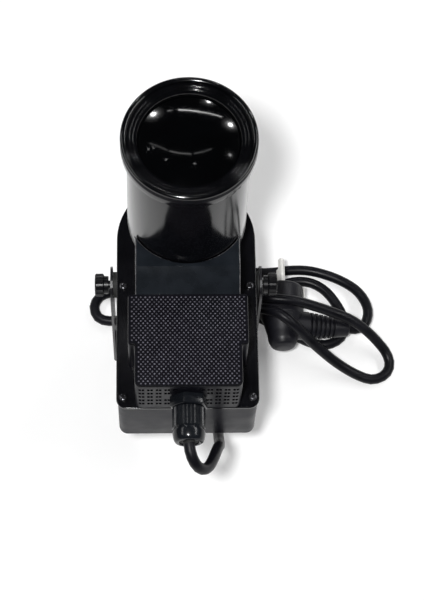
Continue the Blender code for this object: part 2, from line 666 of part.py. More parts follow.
def fan_corners():
    """Places of the fan's four screws."""
    return [(x * FAN_SCREW_OFFSET, -FAN_FORWARD + y * FAN_SCREW_OFFSET) for x in (-1, 1) for y in (-1, 1)]


def barrel_screw_places(start):
    """Three places on the collar's screw circle."""
    return [(BARREL_SCREW_CIRCLE * math.cos(math.radians(start + 90 + 120 * k)),
             BARREL_SCREW_CIRCLE * math.sin(math.radians(start + 90 + 120 * k))) for k in range(3)]


def make_barrel():
    """Tapered tube on the collar, its bezel, lens, seal and retaining ring."""
    foot, top = TUBE_FOOT_RADIUS, TUBE_TOP_RADIUS
    lip = TUBE_BOTTOM + TUBE_WALL
    bore = TUBE_LIP_RADIUS
    curve = [(x, TUBE_BOTTOM + TUBE_ROUND + z) for x, z in arc(foot - TUBE_ROUND, 0, TUBE_ROUND, -90, 0, 4)]
    inside = [(top - TUBE_WALL, TUBE_TOP), (foot - TUBE_WALL, TUBE_BOTTOM + TUBE_ROUND),
              (foot - TUBE_WALL * 2, lip), (bore, lip), (bore, TUBE_BOTTOM)]
    tube = solid("barrel_tube", turned(curve + [(top, TUBE_TOP)] + inside, 48), satin_black, lamp)
    holes = bmesh.new()
    for x, y in barrel_screw_places(0):
        disc(SCREW_SHANK_RADIUS + HOLE_GAP, TUBE_BOTTOM - CUT_PAST, lip + CUT_PAST, 8, holes, (x, y, 0))
    shape_with(tube, solid("tube_screw_holes", holes, parent=lamp))
    for number, (x, y) in enumerate(barrel_screw_places(0), 1):
        solid("barrel_screw_%d" % number, screw(TUBE_WALL + BARREL_SCREW_DEPTH), steel, lamp,
              (x, y, lip + SEAT_GAP))
    lens_top = LENS_SEAT + LENS_EDGE
    ledge = lens_top + SEAL_THICKNESS + SEAT_GAP * 2
    face = TUBE_TOP + SEAT_GAP
    inner = BEZEL_RADIUS - BEAD_RADIUS * 2
    step = (inner - APERTURE_RADIUS) / BEZEL_STEPS
    bead = arc(BEZEL_RADIUS - BEAD_RADIUS, BEZEL_TOP - BEAD_RADIUS, BEAD_RADIUS, 0, 180, 4)
    stairs = []
    for k in range(BEZEL_STEPS):
        r = inner - step * k
        h = BEZEL_TOP - BEAD_HEIGHT - STEP_HEIGHT * k
        stairs += [(r, h), (r - step, h)]
    bezel = ([(top + SEAT_GAP, TUBE_TOP - BEZEL_SKIRT), (BEZEL_RADIUS, TUBE_TOP - BEZEL_SKIRT)] + bead + stairs
             + [(APERTURE_RADIUS, ledge), (TUBE_INNER, ledge), (TUBE_INNER, face),
                (top + SEAT_GAP, face)])
    solid("bezel_ring", turned(bezel, 48), gloss_black, lamp)
    edge = LENS_RADIUS
    flat = [(0, LENS_SEAT), (edge, LENS_SEAT), (edge, lens_top), (APERTURE_RADIUS, lens_top)]
    dome = []
    radius = (APERTURE_RADIUS ** 2 + LENS_RISE ** 2) / (2 * LENS_RISE)
    for k in range(7):
        r = (APERTURE_RADIUS - SEAT_GAP) * (1 - k / 6)
        dome.append((r, lens_top + math.sqrt(radius ** 2 - r ** 2) - radius + LENS_RISE))
    solid("lens", turned(flat + dome, 40), glass, lamp)
    solid("lens_seal", ring(edge, APERTURE_RADIUS, lens_top + SEAT_GAP, ledge - SEAT_GAP), rubber, lamp)
    top = LENS_SEAT - SEAT_GAP
    solid("lens_retainer", ring(edge, APERTURE_RADIUS, top - RETAINER_HEIGHT, top), black_metal, lamp)


def make_lamp_module():
    """Finned heatsink behind the cover, with the LED board, the LED and its optic."""
    base = COVER_BACK - SEAT_GAP
    under = base - HEATSINK_BASE
    tip = under - FIN_LENGTH
    body = turned([(0, tip), (FIN_RADIUS, tip), (FIN_RADIUS, under), (HEATSINK_RADIUS, under),
                   (HEATSINK_RADIUS, base), (0, base)], 40)
    sink = solid("heatsink", body, aluminium, lamp)
    slots = bmesh.new()
    pitch = 2 * FIN_RADIUS / FIN_COUNT
    for k in range(FIN_COUNT + 1):
        x = (k - FIN_COUNT / 2) * pitch
        half = (pitch - FIN_THICKNESS) / 2
        block(x - half, x + half, -HEATSINK_RADIUS, HEATSINK_RADIUS, tip - CUT_PAST, under - FIN_FILLET, slots)
    shape_with(sink, solid("heatsink_slots", slots, parent=lamp))
    holes = bmesh.new()
    for x, y in barrel_screw_places(60):
        disc(SCREW_SHANK_RADIUS + HOLE_GAP, under - CUT_PAST, base + CUT_PAST, 8, holes, (x, y, 0))
    shape_with(sink, solid("heatsink_screw_holes", holes, parent=lamp))
    for number, (x, y) in enumerate(barrel_screw_places(60), 1):
        solid("heatsink_screw_%d" % number, screw(HEATSINK_BASE + BARREL_SCREW_DEPTH), steel, lamp,
              (x, y, under - SEAT_GAP), (math.pi, 0, 0))
    low = base + SEAT_GAP
    high = low + LED_BOARD_THICKNESS
    solid("led_board", disc(LED_BOARD_RADIUS, low, high, 32), board_green, lamp)
    half = LED_SIDE / 2
    chip = high + SEAT_GAP
    solid("led_chip", block(-half, half, -half, half, chip, chip + LED_HEIGHT), yellow, lamp)
    pocket = chip + LED_HEIGHT + OPTIC_AIR
    top = chip + OPTIC_HEIGHT
    flange = LIGHT_BORE - SEAT_GAP
    under = [(0, pocket), (OPTIC_POCKET, pocket), (OPTIC_POCKET, chip), (OPTIC_FOOT_RADIUS, chip)]
    bell = [(OPTIC_WAIST_RADIUS, chip + OPTIC_WAIST_HEIGHT), (OPTIC_TOP_RADIUS, top - OPTIC_FLANGE)]
    rim = [(flange, top - OPTIC_FLANGE), (flange, top), (0, top)]
    solid("optic", turned(under + bell + rim, 24), clear, lamp)


def make_fan():
    """Square axial fan under the intake mesh, its rotor on a shaft and four screws."""
    place = (0, -FAN_FORWARD, 0)
    below, above = FAN_BOTTOM - CUT_PAST, FAN_TOP + CUT_PAST
    half = FAN_SIDE / 2 - FAN_CORNER
    outline = []
    for x, y, start in ((1, 1, 0), (-1, 1, 90), (-1, -1, 180), (1, -1, 270)):
        outline += arc(x * half, y * half, FAN_CORNER, start, start + 90, 3)
    frame = solid("fan_frame", prism(outline, FAN_BOTTOM, FAN_TOP), black_plastic, lamp, place)
    shape_with(frame, solid("fan_bore", disc(FAN_BORE, below, above, 32), parent=lamp, place=place))
    floor = FAN_BOTTOM + FAN_PLATE
    reach, wide = FAN_BORE + CUT_PAST, FAN_SPOKE_WIDTH / 2
    for number in range(2):
        bar = block(-reach, reach, -wide, wide, FAN_BOTTOM + SEAT_GAP, floor - FAN_SPOKE_STEP)
        spin(bar, math.pi / 4 + math.pi / 2 * number, "Z")
        shape_with(frame, solid("fan_spoke_%d" % number, bar, parent=lamp, place=place), "UNION")
    plate = disc(FAN_HUB, FAN_BOTTOM, floor, 20)
    shape_with(frame, solid("fan_motor_plate", plate, parent=lamp, place=place), "UNION")
    holes = disc(FAN_SHAFT + HOLE_GAP, below, floor + CUT_PAST, 12)
    for x, y in fan_corners():
        disc(SCREW_SHANK_RADIUS + HOLE_GAP, below, above, 8, holes, (x, y + FAN_FORWARD, 0))
    shape_with(frame, solid("fan_holes", holes, parent=lamp, place=place))
    low = floor + SEAT_GAP
    high = FAN_TOP - FAN_RECESS
    hub = turned([(0, FAN_BOTTOM), (FAN_SHAFT, FAN_BOTTOM), (FAN_SHAFT, low), (FAN_HUB, low),
                  (FAN_HUB, high - FAN_RECESS), (FAN_HUB - FAN_RECESS, high), (0, high)], 28)
    rotor = solid("fan_rotor", hub, black_plastic, lamp, place)
    root = FAN_HUB - FAN_RECESS
    chord, thick = FAN_BLADE_CHORD / 2, FAN_BLADE_THICKNESS / 2
    for k in range(FAN_BLADES):
        blade = block(root, FAN_BORE - FAN_TIP_GAP, -chord, chord, -thick, thick)
        spin(blade, FAN_BLADE_PITCH, "X")
        bmesh.ops.translate(blade, verts=blade.verts, vec=(0, 0, (low + high) / 2))
        spin(blade, math.tau * k / FAN_BLADES, "Z")
        shape_with(rotor, solid("fan_blade_%d" % k, blade, parent=lamp, place=place), "UNION")
    for number, (x, y) in enumerate(fan_corners(), 1):
        solid("fan_screw_%d" % number, screw(FAN_HEIGHT + POD_WALL * 0.9), steel, lamp,
              (x, y, FAN_BOTTOM - SEAT_GAP), (math.pi, 0, 0))


def board_corners():
    """Places of the driver board's four screws."""
    x = BOARD_WIDTH / 2 - BOARD_SCREW_INSET
    y = BOARD_LENGTH / 2 - BOARD_SCREW_INSET
    return [(sx * x, -BOARD_FORWARD + sy * y) for sx in (-1, 1) for sy in (-1, 1)]


def make_driver():
    """Driver board on the box's posts, with its transformer, capacitor and mains terminal."""
    x, y = BOARD_WIDTH / 2, BOARD_LENGTH / 2
    front = -BOARD_FORWARD - y
    board = solid("driver_board", block(-x, x, front, front + BOARD_LENGTH, BOARD_BOTTOM, BOARD_TOP),
                  board_green, lamp)
    holes = bmesh.new()
    hole = SCREW_SHANK_RADIUS + HOLE_GAP
    for px, py in board_corners():
        disc(hole, BOARD_BOTTOM - CUT_PAST, BOARD_TOP + CUT_PAST, 8, holes, (px, py, 0))
    shape_with(board, solid("board_screw_holes", holes, parent=lamp))
    for number, (px, py) in enumerate(board_corners(), 1):
        solid("board_screw_%d" % number, screw(BOARD_TOP - BOX_FLOOR - BOARD_SCREW_SHORT), steel, lamp,
              (px, py, BOARD_TOP + SEAT_GAP))
    top = BOARD_TOP + SEAT_GAP
    side = TRANSFORMER_SIDE / 2
    core = block(-side, side, -side, side, 0, TRANSFORMER_HEIGHT)
    bmesh.ops.bevel(core, geom=core.edges[:], offset=TRANSFORMER_EDGE, segments=1, affect="EDGES")
    solid("transformer", core, copper, lamp, (-TRANSFORMER_X, -BOARD_FORWARD, top))
    solid("smoothing_capacitor", disc(CAPACITOR_RADIUS, 0, CAPACITOR_HEIGHT, 20), aluminium, lamp,
          (CAPACITOR_X, CAPACITOR_Y - BOARD_FORWARD, top))
    half = TERMINAL_LENGTH / 2
    solid("mains_terminal", block(-half, half, 0, TERMINAL_DEPTH, 0, TERMINAL_HEIGHT), blue, lamp,
          (0, front + TERMINAL_INSET, top))


def make_gland():
    """Cable gland on the pod's front wall: body, lock nut, seal and ribbed dome nut."""
    place, turn = (0, 0, VENT_MIDDLE), (math.pi / 2, 0, 0)
    seat = POD_FRONT + SEAT_GAP
    hex_end = seat + GLAND_HEX_LENGTH
    nut = hex_end + SEAT_GAP
    dome = nut + GLAND_NUT_LENGTH
    mouth = dome + GLAND_DOME_LENGTH
    lock_high = POD_FRONT - POD_WALL - SEAT_GAP
    lock_low = lock_high - LOCKNUT_LENGTH
    thread_end = dome - GLAND_THREAD_SHORT
    body = solid("gland_body", hexagon(GLAND_HEX, seat, hex_end), black_plastic, lamp, place, turn)
    thread = disc(GLAND_THREAD_RADIUS, lock_low - GLAND_THREAD_SHORT, thread_end, 24)
    shape_with(body, solid("gland_thread", thread, parent=lamp, place=place, turn=turn), "UNION")
    bore = disc(GLAND_THREAD_RADIUS - GLAND_WALL, lock_low - GLAND_THREAD_SHORT - CUT_PAST, mouth, 24)
    shape_with(body, solid("gland_bore", bore, parent=lamp, place=place, turn=turn))
    lock = solid("gland_locknut", hexagon(LOCKNUT_SIDE, lock_low, lock_high), black_plastic, lamp, place, turn)
    around = GLAND_THREAD_RADIUS + HOLE_GAP
    shape_with(lock, solid("locknut_bore", disc(around, 0, mouth, 24), parent=lamp, place=place, turn=turn))
    outer, narrow = GLAND_NUT_RADIUS, GLAND_MOUTH_RADIUS + GLAND_LIP
    wide = outer - GLAND_RIB * 2 - narrow
    ribbed = [(outer - GLAND_RIB, nut), (outer, nut + GLAND_RIB),
              (outer, dome - GLAND_RIB), (outer - GLAND_RIB, dome)]
    rise = [(narrow + wide * math.cos(t * math.pi / 8), dome + GLAND_DOME_LENGTH * math.sin(t * math.pi / 8))
            for t in range(5)]
    step = thread_end + SEAT_GAP
    inside = [(GLAND_MOUTH_RADIUS, mouth), (GLAND_MOUTH_RADIUS, step), (around, step), (around, nut)]
    shell = turned(ribbed + rise + inside, GLAND_RIBS)
    for v in shell.verts:
        radius = math.hypot(v.co.x, v.co.y)
        number = round(math.atan2(v.co.y, v.co.x) / math.tau * GLAND_RIBS)
        if number % 2 and radius > outer - SEAT_GAP:
            v.co.x *= 1 - GLAND_RIB / radius
            v.co.y *= 1 - GLAND_RIB / radius
    solid("gland_nut", shell, black_plastic, lamp, place, turn)
    seal = ring(GLAND_MOUTH_RADIUS - SEAT_GAP, CORD_RADIUS + SEAT_GAP, step, mouth - SEAL_RECESS, 24)
    solid("gland_seal", seal, rubber, lamp, place, turn)


def make_lead():
    """The mains lead: a flexing drop on the head and a run that stays on the floor."""
    mouth = Vector((0, AXIS_Y - GLAND_REACH - SEAT_GAP, COVER_Z + VENT_MIDDLE))
    lead("power_cord_drop", [mouth] + DROP_ROUTE, cord_black, lamp)
    start = Vector(FLOOR_ROUTE[0])
    onward = (Vector(FLOOR_ROUTE[1]) - start).normalized() * SEAT_GAP
    tail_end = Vector((TAIL_END_X, TAIL_Y, TAIL_END_Z))
    axis = (tail_end - Vector((PLUG_X, TAIL_Y, PLUG_Z))).normalized()
    approach = [tail_end + axis * CORD_RADIUS * 1.5, tail_end + axis * SEAT_GAP]
    lead("power_cord", [start + onward] + FLOOR_ROUTE[1:] + approach, cord_black)


def make_plug():
    """Moulded right-angle plug lying on the lead: round body, ribbed tail, two pins, two clips."""
    face = -PLUG_FACE_Y
    back = face + PLUG_DEPTH
    r = PLUG_RADIUS
    front = [(0, face), (r - PLUG_EDGE, face), (r, face + PLUG_EDGE), (r, face + PLUG_DRUM)]
    round_back = [(PLUG_BACK_RADIUS, back - PLUG_CROWN), (PLUG_BACK_RADIUS - PLUG_EDGE, back - PLUG_CROWN / 2),
                  (PLUG_BACK_RADIUS * 0.7, back - PLUG_EDGE), (0, back)]
    body = solid("plug_body", turned(front + round_back, 36), black_plastic, None, (PLUG_X, 0, PLUG_Z),
                 (math.pi / 2, 0, 0))
    length = math.hypot(TAIL_END_X - PLUG_X, TAIL_END_Z - PLUG_Z)
    lean = math.atan2(PLUG_Z - TAIL_END_Z, TAIL_END_X - PLUG_X)
    foot, tip = TAIL_FOOT_RADIUS, TAIL_TIP_RADIUS
    tail = turned([(0, 0), (foot, 0), (foot, TAIL_STRAIGHT), (tip, length - PLUG_EDGE),
                   (tip - PLUG_EDGE, length), (0, length)], 24)
    guide = solid("plug_tail", tail, place=(PLUG_X, TAIL_Y, PLUG_Z), turn=(0, math.pi / 2 + lean, 0))
    shape_with(body, guide, "UNION")
    pin_y = PLUG_FACE_Y + SEAT_GAP
    for number, side in enumerate((-1, 1), 1):
        pin = turned([(0, 0), (PIN_RADIUS, 0), (PIN_RADIUS, PIN_LENGTH - PLUG_EDGE),
                      (PIN_RADIUS - PLUG_EDGE, PIN_LENGTH), (0, PIN_LENGTH)], 16)
        solid("plug_pin_%d" % number, pin, steel, None, (PLUG_X, pin_y, PLUG_Z + side * PIN_PITCH / 2),
              (-math.pi / 2, 0, 0))
    half = EARTH_CLIP_WIDTH / 2
    middle = r + SEAT_GAP + EARTH_CLIP_THICKNESS / 2
    thick = EARTH_CLIP_THICKNESS / 2
    for number, side in enumerate((-1, 1), 1):
        clip = block(-thick, thick, -EARTH_CLIP_LENGTH, 0, -half, half)
        solid("earth_clip_%d" % number, clip, steel, None,
              (PLUG_X + side * middle, PLUG_FACE_Y - PLUG_EDGE, PLUG_Z))


for old in list(bpy.data.objects):
    bpy.data.objects.remove(old, do_unlink=True)

satin_black = material("satin black paint", (0.016, 0.016, 0.018), 0.34)
gloss_black = material("gloss black moulding", (0.012, 0.012, 0.014), 0.2)
black_plastic = material("black plastic", (0.02, 0.02, 0.022), 0.45)
black_metal = material("black painted steel", (0.015, 0.015, 0.016), 0.4)
grey_metal = material("dark satin box", (0.05, 0.05, 0.055), 0.5)
rubber = material("black rubber", (0.02, 0.02, 0.02), 0.8)
cord_black = material("black cord jacket", (0.025, 0.025, 0.027), 0.5)
steel = material("steel", (0.55, 0.55, 0.57), 0.3, 1.0)
aluminium = material("bare aluminium", (0.7, 0.7, 0.72), 0.35, 1.0)
glass = material("lens glass", (0.06, 0.07, 0.09), 0.05)
clear = material("clear optic", (0.8, 0.85, 0.9), 0.05)
board_green = material("circuit board", (0.03, 0.22, 0.1), 0.5)
yellow = material("light chip", (0.9, 0.75, 0.25), 0.4)
copper = material("transformer tape", (0.75, 0.6, 0.1), 0.5)
blue = material("terminal plastic", (0.05, 0.25, 0.5), 0.5)

tilt = empty("tilt_axis", (0, PIVOT_Y, PIVOT_Z))
lamp = empty("lamp_axis", (0, PIVOT_FORWARD, PIVOT_BELOW), tilt)

make_yoke()
for side, word in ((-1, "left"), (1, "right")):
    make_pivot(side, word)
make_box()
make_cover()
make_barrel()
make_lamp_module()
make_fan()
make_driver()
make_gland()
make_lead()
make_plug()
print("pinspot light:", len(PARTS), "solids")
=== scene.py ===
# %% [markdown]
# # A pinspot light and its mains lead
#
# A pinspot throws one narrow beam, at a mirror ball for instance. It is a short black
# barrel with a domed lens, standing on a moulded housing. A box with the driver is
# screwed to the back of the housing, and the whole head tilts in a strap yoke. In the
# picture the lens looks up at the camera, and the lead is looped on the table.
#
# The frame that is loaded here holds the solids of the part. Each cell below either
# gives one of them a better surface, or builds a finer piece that stands for it.

# %% Load the frame
import math

import bmesh
import bpy
from mathutils import Matrix, Vector


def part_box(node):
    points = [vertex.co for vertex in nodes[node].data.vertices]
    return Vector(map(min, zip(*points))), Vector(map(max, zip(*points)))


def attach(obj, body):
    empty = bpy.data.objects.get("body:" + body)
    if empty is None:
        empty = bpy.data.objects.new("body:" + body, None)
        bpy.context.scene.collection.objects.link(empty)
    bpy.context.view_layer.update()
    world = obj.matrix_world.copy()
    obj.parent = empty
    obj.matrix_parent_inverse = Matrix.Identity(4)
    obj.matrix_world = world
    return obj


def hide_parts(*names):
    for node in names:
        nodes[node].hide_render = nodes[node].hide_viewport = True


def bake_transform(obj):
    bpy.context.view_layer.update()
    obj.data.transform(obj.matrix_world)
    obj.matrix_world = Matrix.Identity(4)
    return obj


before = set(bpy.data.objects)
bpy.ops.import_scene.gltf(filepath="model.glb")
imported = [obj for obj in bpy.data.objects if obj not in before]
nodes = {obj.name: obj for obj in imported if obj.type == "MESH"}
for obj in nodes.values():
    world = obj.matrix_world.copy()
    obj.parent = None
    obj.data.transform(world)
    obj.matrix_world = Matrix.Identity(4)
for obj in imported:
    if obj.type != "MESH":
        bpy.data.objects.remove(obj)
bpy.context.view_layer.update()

# %% [markdown]
# ## The lamp's own directions
#
# A designer measures this lamp from the barrel's axis: *forward* is towards the cable
# gland, and *height* is counted from the cover plate's front. Writing every place in
# those two words keeps the numbers readable, so the first helper turns them into
# world coordinates. The axis and the plate are read from the frame. Where two pieces
# would only touch, a gap of 0.3 mm keeps them apart.

# %% Measure from the barrel's axis and the cover plate
PLATE = 0.002
GAP = 0.0003
barrel_low, barrel_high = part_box("barrel_tube")
housing_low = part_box("front_housing")[0]
AXIS_Y = (barrel_low.y + barrel_high.y) / 2
COVER_Z = housing_low.z + PLATE


def place(x, forward, height):
    """World place from the barrel's axis and the cover plate."""
    return Vector((x, AXIS_Y - forward, COVER_Z + height))


print("barrel axis at y = %.4f, cover plate at z = %.4f" % (AXIS_Y, COVER_Z))

# %% [markdown]
# ## Camera
#
# The lamp was photographed from high above its cable gland with a long lens, so the
# barrel is seen almost end-on. A long lens far away keeps both ends of the barrel
# nearly the same size. The camera is given by its place and by two directions, which
# together make the turn of the camera object.

# %% Place the camera
CAMERA_PLACE = Vector((-0.0210, -0.4629, 1.2458))
CAMERA_RIGHT = Vector((0.9995, -0.0166, 0.0271))
CAMERA_BACK = Vector((-0.0314, -0.3900, 0.9202))
FILM_HEIGHT = 36
FOCAL_LENGTH = 108

scene = bpy.context.scene
camera = bpy.data.objects.new("camera", bpy.data.cameras.new("camera"))
scene.collection.objects.link(camera)
scene.camera = camera
camera.data.sensor_fit = "VERTICAL"
camera.data.sensor_height = FILM_HEIGHT
camera.data.lens = FOCAL_LENGTH
back = CAMERA_BACK.normalized()
right = (CAMERA_RIGHT - back * CAMERA_RIGHT.dot(back)).normalized()
turn = Matrix((right, back.cross(right), back)).transposed()
camera.matrix_world = Matrix.Translation(CAMERA_PLACE) @ turn.to_4x4()
print("camera %.2f m above the table" % CAMERA_PLACE.z)

# %% [markdown]
# ## A surface for every material
#
# Nothing real is one flat colour. Even new black plastic has a fine grain from its
# mould, and patches that are slightly duller or lighter than the rest. All materials
# here start from one helper: a Principled shader, whose roughness and colour wander a
# little with a broad noise, and a bump from a fine noise whose size is the grain's
# real size. The noises read object coordinates in metres, so the grain is the same
# size on a screw and on the barrel.

# %% Make a material from a colour, a roughness and a grain
NOISE_LOW = 0.3
NOISE_HIGH = 0.7
SMOOTHEST = 0.02
GRAIN_HEIGHT = 0.3


def surface(name, colour, roughness, metallic=0.0, grain=0.0004, relief=0.15, patch=0.012,
            spread=0.06, shade=0.25, specular=0.5):
    """A Principled material with grain, uneven gloss and a slightly uneven colour."""
    made = bpy.data.materials.new(name)
    made.use_nodes = True
    links = made.node_tree.links
    parts = made.node_tree.nodes
    shader = parts["Principled BSDF"]
    shader.inputs["Metallic"].default_value = metallic
    shader.inputs["Specular IOR Level"].default_value = specular
    spot = parts.new("ShaderNodeTexCoord")
    broad = parts.new("ShaderNodeTexNoise")
    broad.inputs["Scale"].default_value = 1 / patch
    broad.inputs["Detail"].default_value = 3
    fine = parts.new("ShaderNodeTexNoise")
    fine.inputs["Scale"].default_value = 1 / grain
    fine.inputs["Detail"].default_value = 2
    for noise in (broad, fine):
        links.new(spot.outputs["Object"], noise.inputs["Vector"])
    gloss = parts.new("ShaderNodeMapRange")
    gloss.inputs["From Min"].default_value = NOISE_LOW
    gloss.inputs["From Max"].default_value = NOISE_HIGH
    gloss.inputs["To Min"].default_value = max(roughness - spread, SMOOTHEST)
    gloss.inputs["To Max"].default_value = roughness + spread
    links.new(broad.outputs["Fac"], gloss.inputs["Value"])
    links.new(gloss.outputs["Result"], shader.inputs["Roughness"])
    tint = parts.new("ShaderNodeValToRGB")
    tint.color_ramp.elements[0].position = NOISE_LOW
    tint.color_ramp.elements[1].position = NOISE_HIGH
    tint.color_ramp.elements[0].color = (*[c * (1 - shade) for c in colour], 1)
    tint.color_ramp.elements[1].color = (*[c * (1 + shade) for c in colour], 1)
    links.new(broad.outputs["Fac"], tint.inputs["Fac"])
    links.new(tint.outputs["Color"], shader.inputs["Base Color"])
    bump = parts.new("ShaderNodeBump")
    bump.inputs["Strength"].default_value = relief
    bump.inputs["Distance"].default_value = grain * GRAIN_HEIGHT
    links.new(fine.outputs["Fac"], bump.inputs["Height"])
    links.new(bump.outputs["Normal"], shader.inputs["Normal"])
    return made


# %% [markdown]
# The lamp is black all over, and its blacks differ in gloss far more than in colour.
# The paint of the barrel and the moulding in front are almost mirrors. Parts that
# face the hand or the air are duller. Where a glossy face would throw a lamp back
# onto the barrel, its mirror strength is set low. The pieces inside have their usual
# metals and colours: bare aluminium, green solder mask, yellow winding tape.

# %% Mix the finishes
satin_paint = surface("satin black paint", (0.003, 0.003, 0.004), 0.155, relief=0.03,
                      grain=0.0006, spread=0.01, specular=0.22)
gloss_moulding = surface("glossy black moulding", (0.003, 0.003, 0.004), 0.14, relief=0.02,
                         spread=0.02, specular=0.35)
vent_moulding = surface("matt moulding of the vent wall", (0.006, 0.006, 0.009), 0.34,
                        relief=0.2, specular=0.09)
slope_moulding = surface("fine grained moulding", (0.009, 0.011, 0.014), 0.11, relief=0.02,
                         spread=0.015, specular=0.4)
# A lighter grey for the long edges of the neck's slope: a painted highlight.
painted_edge_highlight = surface("painted edge highlight", (0.07, 0.07, 0.075), 0.25, relief=0.05, patch=0.004,
                      shade=0.5)
top_moulding = surface("dull moulding by the barrel", (0.009, 0.011, 0.014), 0.14,
                       relief=0.02, spread=0.015, specular=0.03)
rim_enamel = surface("rim enamel", (0.0012, 0.0013, 0.0018), 0.12, relief=0.02, spread=0.02)
matt_plastic = surface("matt black plastic", (0.007, 0.007, 0.009), 0.48, relief=0.2,
                       spread=0.03, shade=0.12, specular=0.15)
knob_plastic = surface("thumb screw plastic", (0.005, 0.005, 0.006), 0.30, relief=0.15,
                       spread=0.03, specular=0.2)
# A lighter grey for the mesh's nubs: a painted highlight, the light points on the mesh.
nub_painted_highlight = surface("grey nubs, painted highlight", (0.085, 0.083, 0.100), 0.50, relief=0.1, patch=0.003,
                    spread=0.03, shade=0.5, specular=0.12)
# Dull black for the mesh's ground and the wall round the glass; under the rim's bead it is painted shade.
dull_black_and_rim_shade = surface("dull black, and painted shade under the rim", (0.004, 0.004, 0.006), 0.50, relief=0.2,
                     specular=0.04)
gland_nylon = surface("gland nylon", (0.006, 0.007, 0.009), 0.20, relief=0.04, spread=0.02,
                      specular=0.3)
black_steel = surface("black coated steel", (0.009, 0.009, 0.011), 0.32, relief=0.2,
                      grain=0.0008)
box_coat = surface("dark satin box coat", (0.008, 0.008, 0.012), 0.38, relief=0.15,
                   grain=0.0007, specular=0.08)
rubber = surface("black rubber", (0.018, 0.018, 0.018), 0.75, relief=0.3)
cord_jacket = surface("cord jacket", (0.005, 0.005, 0.007), 0.38, relief=0.10, grain=0.0005,
                      specular=0.16)
plug_vinyl = surface("plug vinyl", (0.008, 0.008, 0.011), 0.42, relief=0.2, specular=0.3)
black_screw = surface("blackened screw", (0.05, 0.05, 0.055), 0.25, metallic=0.8, relief=0.1)
bright_steel = surface("bright steel", (0.62, 0.62, 0.63), 0.22, metallic=1.0, relief=0.08)
plated_pin = surface("nickel plated pin", (0.80, 0.79, 0.76), 0.30, metallic=0.35,
                     relief=0.05)
bare_aluminium = surface("bare aluminium", (0.72, 0.72, 0.74), 0.34, metallic=1.0,
                         relief=0.2)
clear_acrylic = surface("clear acrylic", (0.75, 0.80, 0.85), 0.06, relief=0.0)
solder_mask = surface("green solder mask", (0.02, 0.20, 0.08), 0.38, relief=0.3, grain=0.001)
phosphor = surface("yellow phosphor", (0.85, 0.68, 0.12), 0.5, relief=0.1)
yellow_tape = surface("yellow winding tape", (0.70, 0.55, 0.06), 0.4, relief=0.2,
                      grain=0.001)
blue_terminal = surface("blue terminal plastic", (0.03, 0.20, 0.45), 0.4)
print("made", len(bpy.data.materials), "materials")

# %% [markdown]
# ## From points to pieces
#
# Most of this lamp was turned or moulded, and two helpers draw nearly all of it. One
# turns a profile about an axis, as a lathe does. The other stacks outlines and joins
# them, which gives a moulded block its round edges: the outline is drawn in a little
# at the top and the bottom. A third helper rounds the corners of a turned profile,
# because a sharp edge catches no light and looks like paper.

# %% Helpers that turn, stack and round
SMOOTH_ANGLE = 35
EDGE_STEPS = 4
CORNER_SHARE = 0.45


def piece(name, shape, finish, body, angle=SMOOTH_ANGLE):
    """An object from a bmesh, smooth up to an angle, that rides on a body."""
    bmesh.ops.recalc_face_normals(shape, faces=shape.faces)
    mesh = bpy.data.meshes.new(name)
    shape.to_mesh(mesh)
    shape.free()
    mesh.shade_smooth()
    mesh.set_sharp_from_angle(angle=math.radians(angle))
    mesh.materials.append(finish)
    made = bpy.data.objects.new(name, mesh)
    scene.collection.objects.link(made)
    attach(made, body)
    print(name, "has", len(mesh.polygons), "faces")
    return made


def turned(profile, steps, origin, axis=(0, 0, 1), wave=None, shape=None):
    """A solid turned from (radius, height) points; wave(step, radius) may change a radius."""
    shape = shape or bmesh.new()
    up = Vector(axis).normalized()
    side = up.orthogonal().normalized()
    across = up.cross(side)
    rings = []
    for radius, height in profile:
        middle = Vector(origin) + up * height
        if radius == 0:
            rings.append([shape.verts.new(middle)])
            continue
        ring = []
        for k in range(steps):
            angle = math.tau * k / steps
            r = wave(k, radius) if wave else radius
            out = side * r * math.cos(angle) + across * r * math.sin(angle)
            ring.append(shape.verts.new(middle + out))
        rings.append(ring)
    pairs = list(zip(rings, rings[1:]))
    if len(rings[0]) > 1:
        pairs.append((rings[-1], rings[0]))
    for a, b in pairs:
        for k in range(steps):
            n = (k + 1) % steps
            if len(a) == 1:
                shape.faces.new((a[0], b[k], b[n]))
            elif len(b) == 1:
                shape.faces.new((a[k], a[n], b[0]))
            else:
                shape.faces.new((a[k], a[n], b[n], b[k]))
    return shape


def rounded(profile, radius, steps=3):
    """A profile whose inner corners are rounded; its first and last points stay."""
    points = [Vector(p) for p in profile]
    out = [points[0]]
    for before, corner, after in zip(points, points[1:], points[2:]):
        into, away = before - corner, after - corner
        reach = min(radius, into.length * CORNER_SHARE, away.length * CORNER_SHARE)
        start, end = corner + into.normalized() * reach, corner + away.normalized() * reach
        for k in range(steps + 1):
            t = k / steps
            out.append(start.lerp(corner, t).lerp(corner.lerp(end, t), t))
    return [tuple(p) for p in out + [points[-1]]]


def stacked(outlines, shape=None):
    """A closed solid through a stack of outlines with the same number of points."""
    shape = shape or bmesh.new()
    rings = [[shape.verts.new(p) for p in outline] for outline in outlines]
    shape.faces.new(rings[0])
    shape.faces.new(rings[-1])
    for a, b in zip(rings, rings[1:]):
        for k in range(len(a)):
            n = (k + 1) % len(a)
            shape.faces.new((a[k], a[n], b[n], b[k]))
    return shape


def arc(x, y, radius, start, end, steps):
    """Points of an arc, angles in degrees."""
    angles = [math.radians(start + (end - start) * k / steps) for k in range(steps + 1)]
    return [(x + radius * math.cos(a), y + radius * math.sin(a)) for a in angles]


